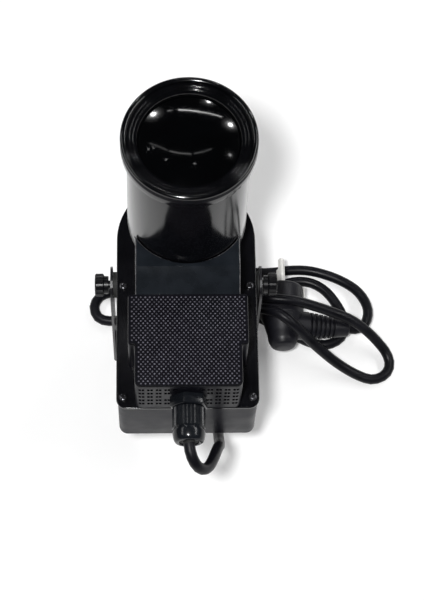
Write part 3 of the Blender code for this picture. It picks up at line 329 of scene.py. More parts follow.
def moulded(outline, low, high, edge, edges="both"):
    """A block over an outline(inset), its top or both rims rounded by edge."""
    quarter = [math.pi / 2 * k / EDGE_STEPS for k in range(EDGE_STEPS + 1)]
    levels = [(edge * (1 - math.cos(a)), high - edge * (1 - math.sin(a))) for a in quarter]
    if edges == "both":
        levels = [(edge * (1 - math.cos(a)), low + edge * (1 - math.sin(a)))
                  for a in reversed(quarter)] + levels
    else:
        levels = [(0, low)] + levels
    return stacked([[place(x, -y, h) for x, y in outline(inset)] for inset, h in levels])


# %% [markdown]
# ## The mains lead
#
# The lead leaves the gland, bends down to the table, runs under the lamp and lies in
# loose loops beside it, with its plug resting on the outermost loop. The route is a
# list of given places. Where the lead crosses itself it climbs over in a
# long low hump, because a lead is round, heavy and springy.

# %% Lay out the lead's route
CORD_RADIUS = 0.00375
GLAND_MOUTH = Vector((0.0, -0.09965, 0.1556))
PLUG_AXLE = Vector((0.072, 0.035, 0.0242))
PLUG_TAIL_END = Vector((0.1215, 0.035, 0.0155))
DROP_ROUTE = [
    (0.0005, -0.1040, 0.1550), (0.0021, -0.1089, 0.1526), (0.0045, -0.1121, 0.1489),
    (0.0074, -0.1133, 0.1445), (0.0104, -0.1121, 0.1400), (0.0131, -0.1088, 0.1356),
    (0.0153, -0.1039, 0.1309), (0.0174, -0.0975, 0.1245), (0.0192, -0.0909, 0.1158),
    (0.0206, -0.0853, 0.1050), (0.0216, -0.0807, 0.0925), (0.0222, -0.0758, 0.0795),
    (0.0225, -0.0692, 0.0662), (0.0226, -0.0600, 0.0520), (0.0225, -0.0490, 0.0388),
    (0.0222, -0.0370, 0.0272),
]
FLOOR_ROUTE = [
    (0.0214, -0.0252, 0.0168), (0.0192, -0.0132, 0.0100),
    (0.0158, -0.0008, 0.0068), (0.0110, 0.0115, 0.0061), (0.0100, 0.0235, 0.0060),
    (0.0120, 0.0355, 0.0062), (0.0170, 0.0465, 0.0074), (0.0270, 0.0530, 0.0140),
    (0.0400, 0.0535, 0.0268), (0.0490, 0.0510, 0.0365), (0.0575, 0.0480, 0.0438), (0.0670, 0.0460, 0.0465),
    (0.0780, 0.0450, 0.0460), (0.0880, 0.0440, 0.0425), (0.0990, 0.0425, 0.0375),
    (0.1100, 0.0405, 0.0325), (0.1210, 0.0375, 0.0282), (0.1320, 0.0325, 0.0220),
    (0.1420, 0.0265, 0.0130), (0.1500, 0.0185, 0.0062), (0.1518, 0.0095, 0.0040),
    (0.1470, 0.0020, 0.0039), (0.1375, -0.0008, 0.0040), (0.1255, 0.0030, 0.0060),
    (0.1125, 0.0090, 0.0120), (0.1000, 0.0155, 0.0215), (0.0890, 0.0215, 0.0322),
    (0.0790, 0.0275, 0.0425), (0.0690, 0.0345, 0.0460), (0.0600, 0.0400, 0.0408),
    (0.0510, 0.0458, 0.0302), (0.0420, 0.0470, 0.0205), (0.0320, 0.0445, 0.0158), (0.0210, 0.0410, 0.0152),
    (0.0100, 0.0365, 0.0148), (-0.0040, 0.0375, 0.0105), (-0.0180, 0.0405, 0.0068),
    (-0.0320, 0.0450, 0.0062), (-0.0440, 0.0470, 0.0048), (-0.0550, 0.0468, 0.0039),
    (-0.0632, 0.0493, 0.0039), (-0.0666, 0.0575, 0.0039), (-0.0632, 0.0658, 0.0039),
    (-0.0550, 0.0698, 0.0039), (-0.0440, 0.0714, 0.0039), (-0.0320, 0.0720, 0.0041),
    (-0.0200, 0.0720, 0.0052), (-0.0080, 0.0715, 0.0098), (0.0030, 0.0705, 0.0128),
    (0.0140, 0.0690, 0.0098), (0.0260, 0.0670, 0.0050), (0.0420, 0.0655, 0.0039),
    (0.0570, 0.0670, 0.0039), (0.0710, 0.0740, 0.0039), (0.0840, 0.0780, 0.0039),
    (0.0960, 0.0770, 0.0039), (0.1065, 0.0705, 0.0039), (0.1145, 0.0595, 0.0039),
    (0.1195, 0.0470, 0.0039), (0.1180, 0.0345, 0.0039), (0.1085, 0.0275, 0.0039),
    (0.0960, 0.0280, 0.0039), (0.0820, 0.0345, 0.0039), (0.0680, 0.0425, 0.0039),
    (0.0540, 0.0500, 0.0039), (0.0400, 0.0545, 0.0039), (0.0260, 0.0560, 0.0039),
    (0.0120, 0.0585, 0.0039), (0.0022, 0.0655, 0.0039), (0.0005, 0.0765, 0.0039),
    (0.0090, 0.0860, 0.0039), (0.0250, 0.0890, 0.0039), (0.0430, 0.0872, 0.0039),
    (0.0580, 0.0855, 0.0039), (0.0700, 0.0860, 0.0039), (0.0820, 0.0875, 0.0039),
    (0.0950, 0.0870, 0.0039), (0.1080, 0.0835, 0.0039), (0.1200, 0.0780, 0.0041),
    (0.1295, 0.0705, 0.0055), (0.1352, 0.0610, 0.0080), (0.1372, 0.0510, 0.0110),
    (0.1356, 0.0425, 0.0128), (0.1323, 0.0373, 0.0138),
]
print("the route has", len(DROP_ROUTE) + len(FLOOR_ROUTE), "places")

# %% [markdown]
# A smooth curve through the places carries a round tube. Where the head tilts, the
# first stretch of the lead would have to follow it; here the tube is one fixed piece.

# %% Draw the lead along its route
CORD_SIDES = 14
CORD_STEP = 0.0045
CURVE_STEPS = 12
APPROACH = CORD_RADIUS * 1.5
FLAT = Vector((0, 0, 1))


def smooth_route(points, spacing):
    """Evenly spaced points on a smooth curve through a route's own points."""
    points = [Vector(p) for p in points]
    ends = [points[0] * 2 - points[1]] + points + [points[-1] * 2 - points[-2]]
    dense = []
    for p0, p1, p2, p3 in zip(ends, ends[1:], ends[2:], ends[3:]):
        for step in range(CURVE_STEPS):
            t = step / CURVE_STEPS
            dense.append(0.5 * (2 * p1 + (p2 - p0) * t + (2 * p0 - 5 * p1 + 4 * p2 - p3) * t * t
                                + (3 * p1 - p0 - 3 * p2 + p3) * t ** 3))
    dense.append(points[-1])
    length = sum((b - a).length for a, b in zip(dense, dense[1:]))
    count = round(length / spacing)
    even, travelled, target = [dense[0]], 0.0, length / count
    for a, b in zip(dense, dense[1:]):
        part = (b - a).length
        while travelled + part >= target - 1e-9 and len(even) < count:
            even.append(a + (b - a) * ((target - travelled) / part))
            target += length / count
        travelled += part
    return even + [dense[-1]], length


def tube(path, radius, sides):
    """A round tube with closed ends; each ring is turned as little as the path allows."""
    rings, side = [], FLAT
    for k, spot in enumerate(path):
        ahead = path[min(k + 1, len(path) - 1)] - path[max(k - 1, 0)]
        ahead.normalize()
        side = (side - ahead * side.dot(ahead)).normalized()
        across = ahead.cross(side)
        angles = [math.tau * n / sides for n in range(sides)]
        rings.append([spot + (side * math.cos(a) + across * math.sin(a)) * radius for a in angles])
    return stacked(rings)


mouth = GLAND_MOUTH - Vector((0, GAP, 0))
tail_axis = (PLUG_TAIL_END - PLUG_AXLE).normalized()
approach = [PLUG_TAIL_END + tail_axis * APPROACH, PLUG_TAIL_END + tail_axis * GAP]
cord_path, cord_measured = smooth_route([mouth] + DROP_ROUTE + FLOOR_ROUTE + approach, CORD_STEP)
cord = piece("mains_lead", tube(cord_path, CORD_RADIUS, CORD_SIDES), cord_jacket, "yoke", 60)
cord.parent = None
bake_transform(cord)
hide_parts("power_cord", "power_cord_drop")
print("the lead measures %.3f m" % cord_measured)

# %% [markdown]
# ## The white table
#
# The photograph is a packshot on a white sweep, with only a soft shadow to the right
# of the lamp. Black gloss shows little of its own colour and mostly what it mirrors,
# so the table has to be white in reflections too. Its material therefore glows a
# little for the camera and for mirrors, and is a plain diffuse white for the lamps,
# which lets it take a shadow.

# %% Lay the table
TABLE_WHITE = 0.80
TABLE_GLOW = 0.20
TABLE_HALF = 4


def white_ground():
    """White for the camera and for mirrors, and a plain diffuse white that takes shadows."""
    made = bpy.data.materials.new("white sweep")
    made.use_nodes = True
    links = made.node_tree.links
    parts = made.node_tree.nodes
    parts.clear()
    ground = parts.new("ShaderNodeBsdfDiffuse")
    ground.inputs["Color"].default_value = (TABLE_WHITE, TABLE_WHITE, TABLE_WHITE, 1)
    glow = parts.new("ShaderNodeEmission")
    ray = parts.new("ShaderNodeLightPath")
    first = parts.new("ShaderNodeMath")
    first.operation = "MAXIMUM"
    second = parts.new("ShaderNodeMath")
    second.operation = "MAXIMUM"
    strength = parts.new("ShaderNodeMath")
    strength.operation = "MULTIPLY"
    strength.inputs[1].default_value = TABLE_GLOW
    both = parts.new("ShaderNodeAddShader")
    out = parts.new("ShaderNodeOutputMaterial")
    links.new(ray.outputs["Is Camera Ray"], first.inputs[0])
    links.new(ray.outputs["Is Glossy Ray"], first.inputs[1])
    links.new(first.outputs[0], second.inputs[0])
    links.new(ray.outputs["Is Transmission Ray"], second.inputs[1])
    links.new(second.outputs[0], strength.inputs[0])
    links.new(strength.outputs[0], glow.inputs["Strength"])
    links.new(ground.outputs[0], both.inputs[0])
    links.new(glow.outputs[0], both.inputs[1])
    links.new(both.outputs[0], out.inputs["Surface"])
    return made


corners = [(x * TABLE_HALF, y * TABLE_HALF, 0) for x, y in ((-1, -1), (1, -1), (1, 1), (-1, 1))]
floor_mesh = bpy.data.meshes.new("table")
floor_mesh.from_pydata(corners, [], [(0, 1, 2, 3)])
floor_mesh.materials.append(white_ground())
floor = bpy.data.objects.new("table", floor_mesh)
scene.collection.objects.link(floor)
print("laid a table %d m wide" % (2 * TABLE_HALF))

# %% [markdown]
# ## Lamps in a dark room
#
# One small key lamp hangs just above the camera and throws the shadow. All the other
# lamps are there to be mirrored. A long narrow softbox on each side makes the bands
# on the barrel. Four bulbs, each in a dimmer glow as its reflector gives, make the
# round glints on the lens. Thin strips behind and above draw the bright arcs in the
# rim and the glass, and four tiny lamps add single points of light. The room itself
# is nearly black, so whatever faces no lamp stays deep black.

# %% Hang the lamps
LAMP_AIM = Vector((0.0, 0.03, 0.25))
RIM_MIDDLE = Vector((0, 0.05, 0.27))
SOFTBOX_LENGTH = 1.2
SOFTBOX_WIDTH = 0.10
GLOW_RINGS = ((1.0, 1.0), (1.7, 0.07), (2.6, 0.020), (3.8, 0.006), (5.2, 0.0025))
GLOW_SPACING = 0.01
BULBS = [
    ("spot behind left", (-0.56, 1.28, 1.17), 0.075, 90),
    ("spot behind", (0.34, 1.47, 0.99), 0.055, 60),
    ("spot behind right", (0.74, 1.09, 1.27), 0.065, 90),
    ("spot right", (0.81, 0.47, 1.60), 0.060, 6),
]
GLINT_SIZE = 0.018
GLINT_POWER = 0.02
GLINTS = [(-0.75, 0.6, 1.59), (-0.66, 0.61, 1.63), (-0.44, 0.33, 1.79), (0.13, 0.22, 1.87)]
STRIP_WIDTH = 0.022
STRIPS = [
    ((-0.15, 1.34, 1.25), (0.22, 1.30, 1.28), 20),
    ((0.22, 1.30, 1.28), (0.58, 1.22, 1.23), 14),
    ((-0.33, 1.33, 1.22), (-0.25, 1.34, 1.24), 5),
    ((-0.72, 0.72, 1.56), (-0.40, 0.52, 1.72), 1.6),
    ((-0.36, 0.50, 1.74), (-0.16, 0.44, 1.79), 3.0),
    ((-0.16, 0.44, 1.79), (0.06, 0.42, 1.80), 3.0),
    ((0.12, 0.43, 1.79), (0.30, 0.48, 1.77), 2.0),
    ((0.30, 0.48, 1.77), (0.46, 0.56, 1.72), 1.6),
]


def soft_lamp(name, where, size, power, height=None):
    """A round lamp, or an oblong one where a height is given, that faces the object."""
    light = bpy.data.lights.new(name, "AREA")
    light.shape = "RECTANGLE" if height else "DISK"
    light.size = size
    light.size_y = height or size
    light.energy = power
    lamp = bpy.data.objects.new(name, light)
    scene.collection.objects.link(lamp)
    lamp.location = where
    lamp.rotation_euler = (Vector(where) - LAMP_AIM).to_track_quat("Z", "Y").to_euler()
    return lamp


def glowing_bulb(name, where, size, radiance):
    """A small bright lamp in wider and fainter rings, as a bulb in its reflector looks."""
    for ring, (wide, share) in enumerate(GLOW_RINGS):
        power = radiance * share * math.pi * math.pi * (size * wide / 2) ** 2
        soft_lamp("%s %d" % (name, ring), Vector(where) * (1 + GLOW_SPACING * ring),
                  size * wide, power)


def strip_lamp(name, start, end, radiance):
    """A thin strip of light between two places, facing the rim."""
    start, end = Vector(start), Vector(end)
    power = radiance * math.pi * (end - start).length * STRIP_WIDTH
    lamp = soft_lamp(name, (start + end) / 2, (end - start).length, power, height=STRIP_WIDTH)
    along = (end - start).normalized()
    out = (lamp.location - RIM_MIDDLE).normalized()
    out = (out - along * out.dot(along)).normalized()
    lamp.rotation_euler = Matrix((along, out.cross(along), out)).transposed().to_euler()


soft_lamp("key lamp", (-0.15, -0.52, 1.50), 0.13, 20)
soft_lamp("left softbox", (-0.98, 0.22, 1.10), SOFTBOX_LENGTH, 4, height=SOFTBOX_WIDTH)
soft_lamp("right softbox", (1.0, 0.22, 1.08), SOFTBOX_LENGTH, 7, height=SOFTBOX_WIDTH)
for name, where, size, radiance in BULBS:
    glowing_bulb(name, where, size, radiance)
for number, where in enumerate(GLINTS, 1):
    soft_lamp("glint %d" % number, where, GLINT_SIZE, GLINT_POWER)
for number, (start, end, radiance) in enumerate(STRIPS, 1):
    strip_lamp("tube %d" % number, start, end, radiance)

# %% [markdown]
# The background is white for the camera alone. Everything that mirrors the room, or is
# lit by it, meets a dark grey instead.

# %% Darken the room
ROOM_GREY = 0.02
world = bpy.data.worlds.new("studio")
scene.world = world
world.use_nodes = True
room = world.node_tree
sky = room.nodes["Background"]
sky.inputs["Color"].default_value = (1, 1, 1, 1)
seen = room.nodes.new("ShaderNodeLightPath")
level = room.nodes.new("ShaderNodeMapRange")
level.inputs["To Min"].default_value = ROOM_GREY
level.inputs["To Max"].default_value = 1.0
room.links.new(seen.outputs["Is Camera Ray"], level.inputs["Value"])
room.links.new(level.outputs["Result"], sky.inputs["Strength"])
scene.view_settings.view_transform = "Standard"
print("the room is %d percent grey in mirrors" % (100 * ROOM_GREY))

# %% [markdown]
# ## Cover plate and pod
#
# The front of the lamp is one glossy moulding. Its arched plate closes the box, and
# the pod that stands on it is wide beside the barrel and narrower towards the gland.
# A round collar under the barrel carries it. Each is drawn as a block with round
# rims, because the thin light line along every edge of such a moulding is what tells
# the eye that it is moulded plastic.

# %% Mould the plate, the pod and the collar
COVER_HALF = 0.047
COVER_FRONT = 0.1214
COVER_CORNER = 0.007
COVER_EDGE = 0.0006
ARCH_STEPS = 72
POD_HEIGHT = 0.040
POD_REAR = 0.0575
POD_STEP = 0.0925
POD_FRONT = 0.121
POD_WIDE = 0.0388
POD_HALF = 0.0345
POD_CORNER = 0.004
POD_EDGE = 0.0010
COLLAR_RADIUS = 0.0335
COLLAR_EDGE = 0.0004
COLLAR_STEPS = 96
TUBE_BOTTOM = 0.027


def cover_outline(inset=0.0):
    """Arch behind the barrel, straight sides and two round corners in front."""
    half, corner = COVER_HALF - inset, COVER_CORNER - inset
    low = -COVER_FRONT + inset + corner
    return (arc(0, 0, half, 0, 180, ARCH_STEPS)
            + arc(-half + corner, low, corner, 180, 270, 8)
            + arc(half - corner, low, corner, 270, 360, 8))


def pod_outline(inset=0.0):
    """T shape: wide beside the neck, narrower towards the gland."""
    wide, half = POD_WIDE - inset, POD_HALF - inset
    rear, step, front = -POD_REAR - inset, -POD_STEP + inset, -POD_FRONT + inset
    corner = POD_CORNER - inset
    small = corner / 2
    side = (arc(wide - small, rear - small, small, 90, 0, 5)
            + arc(wide - small, step + small, small, 0, -90, 5)
            + arc(half + small / 2, step - small / 2, small / 2, 90, 180, 3)
            + arc(half - corner, front + corner, corner, 0, -90, 7))
    return side + [(-x, y) for x, y in reversed(side)]


plate = piece("cover_plate", moulded(cover_outline, -PLATE, 0, COVER_EDGE), gloss_moulding, "head")
pod = piece("pod", moulded(pod_outline, -PLATE / 2, POD_HEIGHT, POD_EDGE, "top"),
            gloss_moulding, "head")
collar_profile = [(0, -PLATE / 2), (COLLAR_RADIUS, -PLATE / 2),
                  (COLLAR_RADIUS, TUBE_BOTTOM - GAP), (0, TUBE_BOTTOM - GAP)]
collar = piece("collar", turned(rounded(collar_profile, COLLAR_EDGE), COLLAR_STEPS, place(0, 0, 0)),
               gloss_moulding, "head")

# %% [markdown]
# ## Neck
#
# The neck climbs from the pod to the barrel in one flat slope, and the barrel sinks
# into it: a Boolean cuts the round seat. The slope has a fine grain. The flat top
# beside the barrel is kept dull, because a glossy one would throw the lamps' light
# back onto the barrel. The long edges of the slope are painted a lighter grey as a
# painted highlight: the thin light line along each edge.

# %% Shape the neck and seat the barrel in it
NECK_HALF = 0.034
NECK_HEIGHT = 0.050
NECK_CREASE = 0.042
NECK_REAR = 0.012
NECK_LAP = 0.003
SLOPE_RISE = 0.0013
SLOPE_SINK = 0.001
SEAT_TOP = 0.06
SEAT_STEPS = 128
NECK_EDGE = 0.0009
NECK_SEGMENTS = 5
SHARP_ANGLE = 30
CREASE_ANGLE = 20
LEVEL = 0.99
RISING = 0.3
SIDEWAYS = 0.2
TUBE_FOOT = 0.0393


def apply_modifiers(target):
    """Writes what the modifiers make into the mesh itself."""
    bpy.context.view_layer.update()
    seen_as = target.evaluated_get(bpy.context.evaluated_depsgraph_get())
    made = bpy.data.meshes.new_from_object(seen_as)
    made.name = target.data.name
    target.modifiers.clear()
    target.data = made


def cut(target, guide):
    """Cuts a piece by another, and deletes the other."""
    step = target.modifiers.new("shape", "BOOLEAN")
    step.operation = "DIFFERENCE"
    step.solver = "EXACT"
    step.object = guide
    apply_modifiers(target)
    bpy.data.objects.remove(guide, do_unlink=True)


def soften(target, width, segments=2, clamp=True):
    """Rounds every sharp edge of a piece."""
    step = target.modifiers.new("soften", "BEVEL")
    step.width = width
    step.segments = segments
    step.limit_method = "ANGLE"
    step.angle_limit = math.radians(SHARP_ANGLE)
    step.use_clamp_overlap = clamp
    apply_modifiers(target)
    shade(target, SHARP_ANGLE)


def shade(target, angle):
    """Smooth shading that breaks at edges sharper than an angle."""
    target.data.shade_smooth()
    target.data.set_sharp_from_angle(angle=math.radians(angle))


lap = POD_REAR + NECK_LAP
profile = [(NECK_REAR, -PLATE / 2), (NECK_REAR, NECK_HEIGHT), (NECK_CREASE, NECK_HEIGHT),
           (POD_REAR, POD_HEIGHT + SLOPE_RISE), (lap, POD_HEIGHT - SLOPE_SINK), (lap, -PLATE / 2)]
sides = [[place(side * NECK_HALF, f, h) for f, h in profile] for side in (-1, 1)]
neck = piece("neck", stacked(sides), slope_moulding, "head")
seat_profile = [(0, TUBE_BOTTOM - GAP), (TUBE_FOOT + GAP, TUBE_BOTTOM - GAP),
                (TUBE_FOOT + GAP, SEAT_TOP), (0, SEAT_TOP)]
cut(neck, piece("neck_seat", turned(seat_profile, SEAT_STEPS, place(0, 0, 0)), gloss_moulding, "head"))
soften(neck, NECK_EDGE, segments=NECK_SEGMENTS, clamp=False)
shade(neck, CREASE_ANGLE)
neck.data.materials.append(top_moulding)
# The third material, the lighter grey of the slope's long edges, is a painted highlight.
neck.data.materials.append(painted_edge_highlight)
for face in neck.data.polygons:
    if face.normal.z > LEVEL:
        face.material_index = 1
    elif face.normal.z > RISING and abs(face.normal.x) > SIDEWAYS:
        face.material_index = 2

# %% [markdown]
# ## Vent slots
#
# The pod's front wall lets the air out through pairs of small upright slots in five
# rows, left out around the gland. Painted marks would vanish from the side, so the
# slots are cut: one object holds all the cutters, and a single Boolean does the work.
# The pod's upright walls are matt, and the rim under the mesh stays glossy.

# %% Cut the vent slots
VENT_MIDDLE = 0.021
VENT_RADIUS = 0.0009
VENT_STRETCH = 0.0008
VENT_DEPTH = 0.0035
VENT_START = 0.001
VENT_PAIR = 0.0021
VENT_COLUMN = 0.0055
VENT_COLUMNS = 12
VENT_ROW = 0.00625
VENT_CLEAR = 0.0148
UPRIGHT = 0.5

slots = bmesh.new()
for row in range(-2, 3):
    for column in range(VENT_COLUMNS):
        x = (column - (VENT_COLUMNS - 1) / 2) * VENT_COLUMN
        h = VENT_MIDDLE + row * VENT_ROW
        if math.hypot(x, h - VENT_MIDDLE) <= VENT_CLEAR:
            continue
        for pair in (-VENT_PAIR / 2, VENT_PAIR / 2):
            slot = (arc(x + pair, h + VENT_STRETCH, VENT_RADIUS, 0, 180, 6)
                    + arc(x + pair, h - VENT_STRETCH, VENT_RADIUS, 180, 360, 6))
            stacked([[place(u, POD_FRONT + d, v) for u, v in slot]
                     for d in (-VENT_DEPTH, VENT_START)], slots)
cut(pod, piece("vent_cutters", slots, gloss_moulding, "head"))
shade(pod, SMOOTH_ANGLE)
pod.data.materials.append(vent_moulding)
for face in pod.data.polygons:
    if abs(face.normal.z) < UPRIGHT:
        face.material_index = 1
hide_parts("front_housing")
print("pod has", len(pod.data.polygons), "faces with its slots")

# %% [markdown]
# ## Intake mesh
#
# Over the fan lies a sheet of fine black mesh. From a distance it reads as a dark
# panel sown with light points, the highlights on the mesh. Here each crossing of the
# mesh is a tiny round nub in a lighter grey, a painted highlight, over a dark hollow.
# Modelling those nubs is cheap: one low dome, repeated in staggered rows wherever
# the panel's outline has room for it.

# %% Weave the intake mesh
MESH_THICKNESS = 0.001
MESH_EDGE = 0.0004
NUB_PITCH = 0.0029
NUB_ROW = 0.00165
NUB_RADIUS = 0.00068
NUB_HEIGHT = 0.00042
NUB_SINK = 0.0001
NUB_SHOULDER = (0.72, 0.7)
NUB_SIDES = 6
NUB_BORDER = 0.0012
NUB_REACH = 14
SHEET_SKIN = 0.00001


def inside(outline, x, y):
    """True where a point lies inside a closed outline."""
    found = False
    for (x0, y0), (x1, y1) in zip(outline, outline[1:] + outline[:1]):
        if (y0 > y) != (y1 > y) and x < (x1 - x0) * (y - y0) / (y1 - y0) + x0:
            found = not found
    return found


def mesh_outline(inset=0.0):
    """The pod's outline, drawn in by a gap."""
    return pod_outline(inset + GAP)


sheet_top = POD_HEIGHT + GAP + MESH_THICKNESS
panel = moulded(mesh_outline, POD_HEIGHT + GAP, sheet_top, MESH_EDGE)
border = mesh_outline(NUB_BORDER)
shoulder = (NUB_RADIUS * NUB_SHOULDER[0], NUB_HEIGHT * NUB_SHOULDER[1])
nub = [(0, -NUB_SINK), (NUB_RADIUS, -NUB_SINK), shoulder, (0, NUB_HEIGHT)]
count = 0
for row in range(int((POD_FRONT - POD_REAR) / NUB_ROW)):
    y = -POD_REAR - NUB_ROW * (row + 0.5)
    for column in range(-NUB_REACH, NUB_REACH + 1):
        x = (column + 0.5 * (row % 2)) * NUB_PITCH
        if inside(border, x, y):
            turned(nub, NUB_SIDES, place(x, -y, sheet_top), shape=panel)
            count += 1
mesh_panel = piece("intake_sheet", panel, dull_black_and_rim_shade, "head", 60)
# The nubs take the lighter grey of the painted highlight.
mesh_panel.data.materials.append(nub_painted_highlight)
for face in mesh_panel.data.polygons:
    if face.center.z > COVER_Z + sheet_top + SHEET_SKIN:
        face.material_index = 1
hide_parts("intake_mesh")
print("wove", count, "nubs")

# %% [markdown]
# ## Barrel
#
# The barrel is a tube with a slight taper and a round foot, in satin black paint. It
# mirrors the two softboxes in two broad bands, one at each side, and the dark room
# between them. A turned profile with many steps keeps those bands straight and clean.

# %% Turn the barrel
TUBE_TOP = 0.1413
TUBE_TOP_RADIUS = 0.0384
TUBE_WALL = 0.002
TUBE_ROUND = 0.006
TUBE_BORE = 0.029
BARREL_STEPS = 160

foot = [(r, TUBE_BOTTOM + TUBE_ROUND + h)
        for r, h in arc(TUBE_FOOT - TUBE_ROUND, 0, TUBE_ROUND, -90, 0, 12)]
lip = TUBE_BOTTOM + TUBE_WALL
inner_radius = TUBE_TOP_RADIUS - TUBE_WALL
inner = [(inner_radius, TUBE_TOP), (TUBE_FOOT - TUBE_WALL, TUBE_BOTTOM + TUBE_ROUND),
         (TUBE_FOOT - TUBE_WALL * 2, lip), (TUBE_BORE, lip), (TUBE_BORE, TUBE_BOTTOM)]
wall = foot + [(TUBE_TOP_RADIUS, TUBE_TOP)] + inner
barrel = piece("barrel", turned(wall, BARREL_STEPS, place(0, 0, 0)), satin_paint, "head")
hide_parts("barrel_tube")

# %% [markdown]
# ## Bezel
#
# The rim that holds the lens is a round bead with three small steps inside it. In
# gloss black it shows as a set of thin bright arcs, so each corner of the turned
# profile is rounded by a few tenths of a millimetre. The wall round the glass is
# dull. A narrow band under the bead is dull black as painted shade, the bead's
# shadow, and the skirt below is painted like the barrel.

# %% Turn the bezel
BEZEL_RADIUS = 0.0422
BEZEL_TOP = 0.148
BEZEL_SKIRT = 0.0055
BEZEL_STEPS = 192
APERTURE = 0.0322
LENS_TOP = 0.1425
LENS_SEAL = 0.0014
BEAD = 0.002
FIRST_STEP = 0.0018
STEP_DROP = 0.0008
STEPS = 3
STEP_EDGE = 0.00035
SKIRT_EDGE = 0.0006
# Height of the dull band under the bead, which is painted shade.
RIM_SHADE_BAND = 0.0045
SKIRT_INNER = TUBE_TOP_RADIUS + 0.001

bead_foot = BEZEL_TOP - BEAD
rim_shade_foot = bead_foot - RIM_SHADE_BAND
skirt_foot = TUBE_TOP - BEZEL_SKIRT
skirt = [(TUBE_TOP_RADIUS + GAP, skirt_foot), (BEZEL_RADIUS, skirt_foot), (BEZEL_RADIUS, rim_shade_foot)]
bead = arc(BEZEL_RADIUS - BEAD, bead_foot, BEAD, 0, 180, 12)
steps = []
step_start = BEZEL_RADIUS - 2 * BEAD
step_width = (step_start - APERTURE) / STEPS
for k in range(STEPS):
    r = step_start - step_width * k
    h = BEZEL_TOP - FIRST_STEP - STEP_DROP * k
    steps += [(r, h), (r - step_width, h)]
ledge = LENS_TOP + LENS_SEAL
inward = [(APERTURE, ledge), (inner_radius, ledge), (inner_radius, TUBE_TOP + GAP),
          (TUBE_TOP_RADIUS + GAP, TUBE_TOP + GAP)]
rim = rounded(skirt + bead[:1], SKIRT_EDGE)[:-1] + bead[:-1]
rim += rounded(bead[-1:] + steps, STEP_EDGE) + inward
bezel = piece("bezel", turned(rim, BEZEL_STEPS, place(0, 0, 0)), rim_enamel, "head", 50)
bezel.data.materials.append(dull_black_and_rim_shade)
bezel.data.materials.append(satin_paint)
for face in bezel.data.polygons:
    height = face.center.z - COVER_Z
    across = (face.center - place(0, 0, height)).length
    if across < APERTURE + GAP and height > LENS_TOP:
        face.material_index = 1
    # Just under the bead the skirt is dull black as painted shade; below that band it takes the barrel's
    # paint.
    elif across > SKIRT_INNER and height < bead_foot:
        face.material_index = 1 if height > rim_shade_foot else 2
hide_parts("bezel_ring")

# %% [markdown]
# ## Lens
#
# The lens is a thick piece of glass, flat behind and domed in front. With the lamp off
# there is nothing but black tube behind it, so the glass is nearly black and carries
# only reflections. It is therefore given a dark body under a polished surface, and
# not a see-through one: that shows the same picture, and it stays free of noise.

# %% Grind the lens
LENS_SEAT = 0.1397
LENS_RISE = 0.0055
LENS_RINGS = 24

lens_glass = surface("dark lens glass", (0.0003, 0.0004, 0.0006), 0.07, relief=0.0, spread=0.005)
edge = inner_radius - GAP
curve = (APERTURE ** 2 + LENS_RISE ** 2) / (2 * LENS_RISE)
glass = [(0, LENS_SEAT), (edge, LENS_SEAT), (edge, LENS_TOP), (APERTURE, LENS_TOP)]
for k in range(LENS_RINGS):
    r = (APERTURE - GAP) * (1 - k / LENS_RINGS)
    glass.append((r, LENS_TOP + math.sqrt(curve ** 2 - r ** 2) - curve + LENS_RISE))
glass.append((0, LENS_TOP + LENS_RISE))
lens = piece("lens_dome", turned(glass, BARREL_STEPS, place(0, 0, 0)), lens_glass, "head", 40)
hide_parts("lens")

# %% [markdown]
# ## Driver box
#
# Behind the cover sits a deep tray in a dark satin coat. Its rear edge is rounded, as
# on any cast or drawn box, and it stands a millimetre inside the cover's rim.

# %% Form the box
BOX_INSET = 0.001
BOX_DEPTH = 0.056
BOX_TOP = -0.0036
BOX_EDGE = 0.003
BOX_EDGE_STEPS = 6

levels = []
for k in range(BOX_EDGE_STEPS + 1):
    a = math.pi / 2 * k / BOX_EDGE_STEPS
    levels.append((BOX_EDGE * (1 - math.sin(a)), -BOX_DEPTH + BOX_EDGE * (1 - math.cos(a))))
levels.append((0, BOX_TOP))
outlines = [[place(x, -y, h) for x, y in cover_outline(BOX_INSET + inset)] for inset, h in levels]
box = piece("driver_box", stacked(outlines), box_coat, "head")
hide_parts("rear_box")

# %% [markdown]
# ## Screws
#
# Six small pan-head screws hold the cover. Each has a cross for the screwdriver, cut
# by one plus-shaped cutter, and each is left at another turn, as real screws are.

# %% Set the cover screws
SCREW_SIDE = 0.0425
SCREW_FORWARD = (0.114, 0.0345)
SCREW_HEAD = 0.0027
SCREW_HEIGHT = 0.0019
SHANK_RADIUS = 0.0013
SHANK_LENGTH = 0.011
SCREW_STEPS = 28
HEAD_RIM = 0.45
CROSS_LENGTH = 0.0028
CROSS_WIDTH = 0.0006
CROSS_DEPTH = 0.0009
CROSS_TURN = 37

slant = SCREW_SIDE * math.sqrt(0.5)
screw_places = [(side * SCREW_SIDE, f) for f in SCREW_FORWARD for side in (-1, 1)]
screw_places += [(side * slant, -slant) for side in (-1, 1)]


def plus(reach, half):
    """The outline of a cross."""
    quarter = [(reach, -half), (reach, half), (half, half)]
    turns = ((1, 0), (0, 1), (-1, 0), (0, -1))
    return [(x * c - y * s, x * s + y * c) for c, s in turns for x, y in quarter]


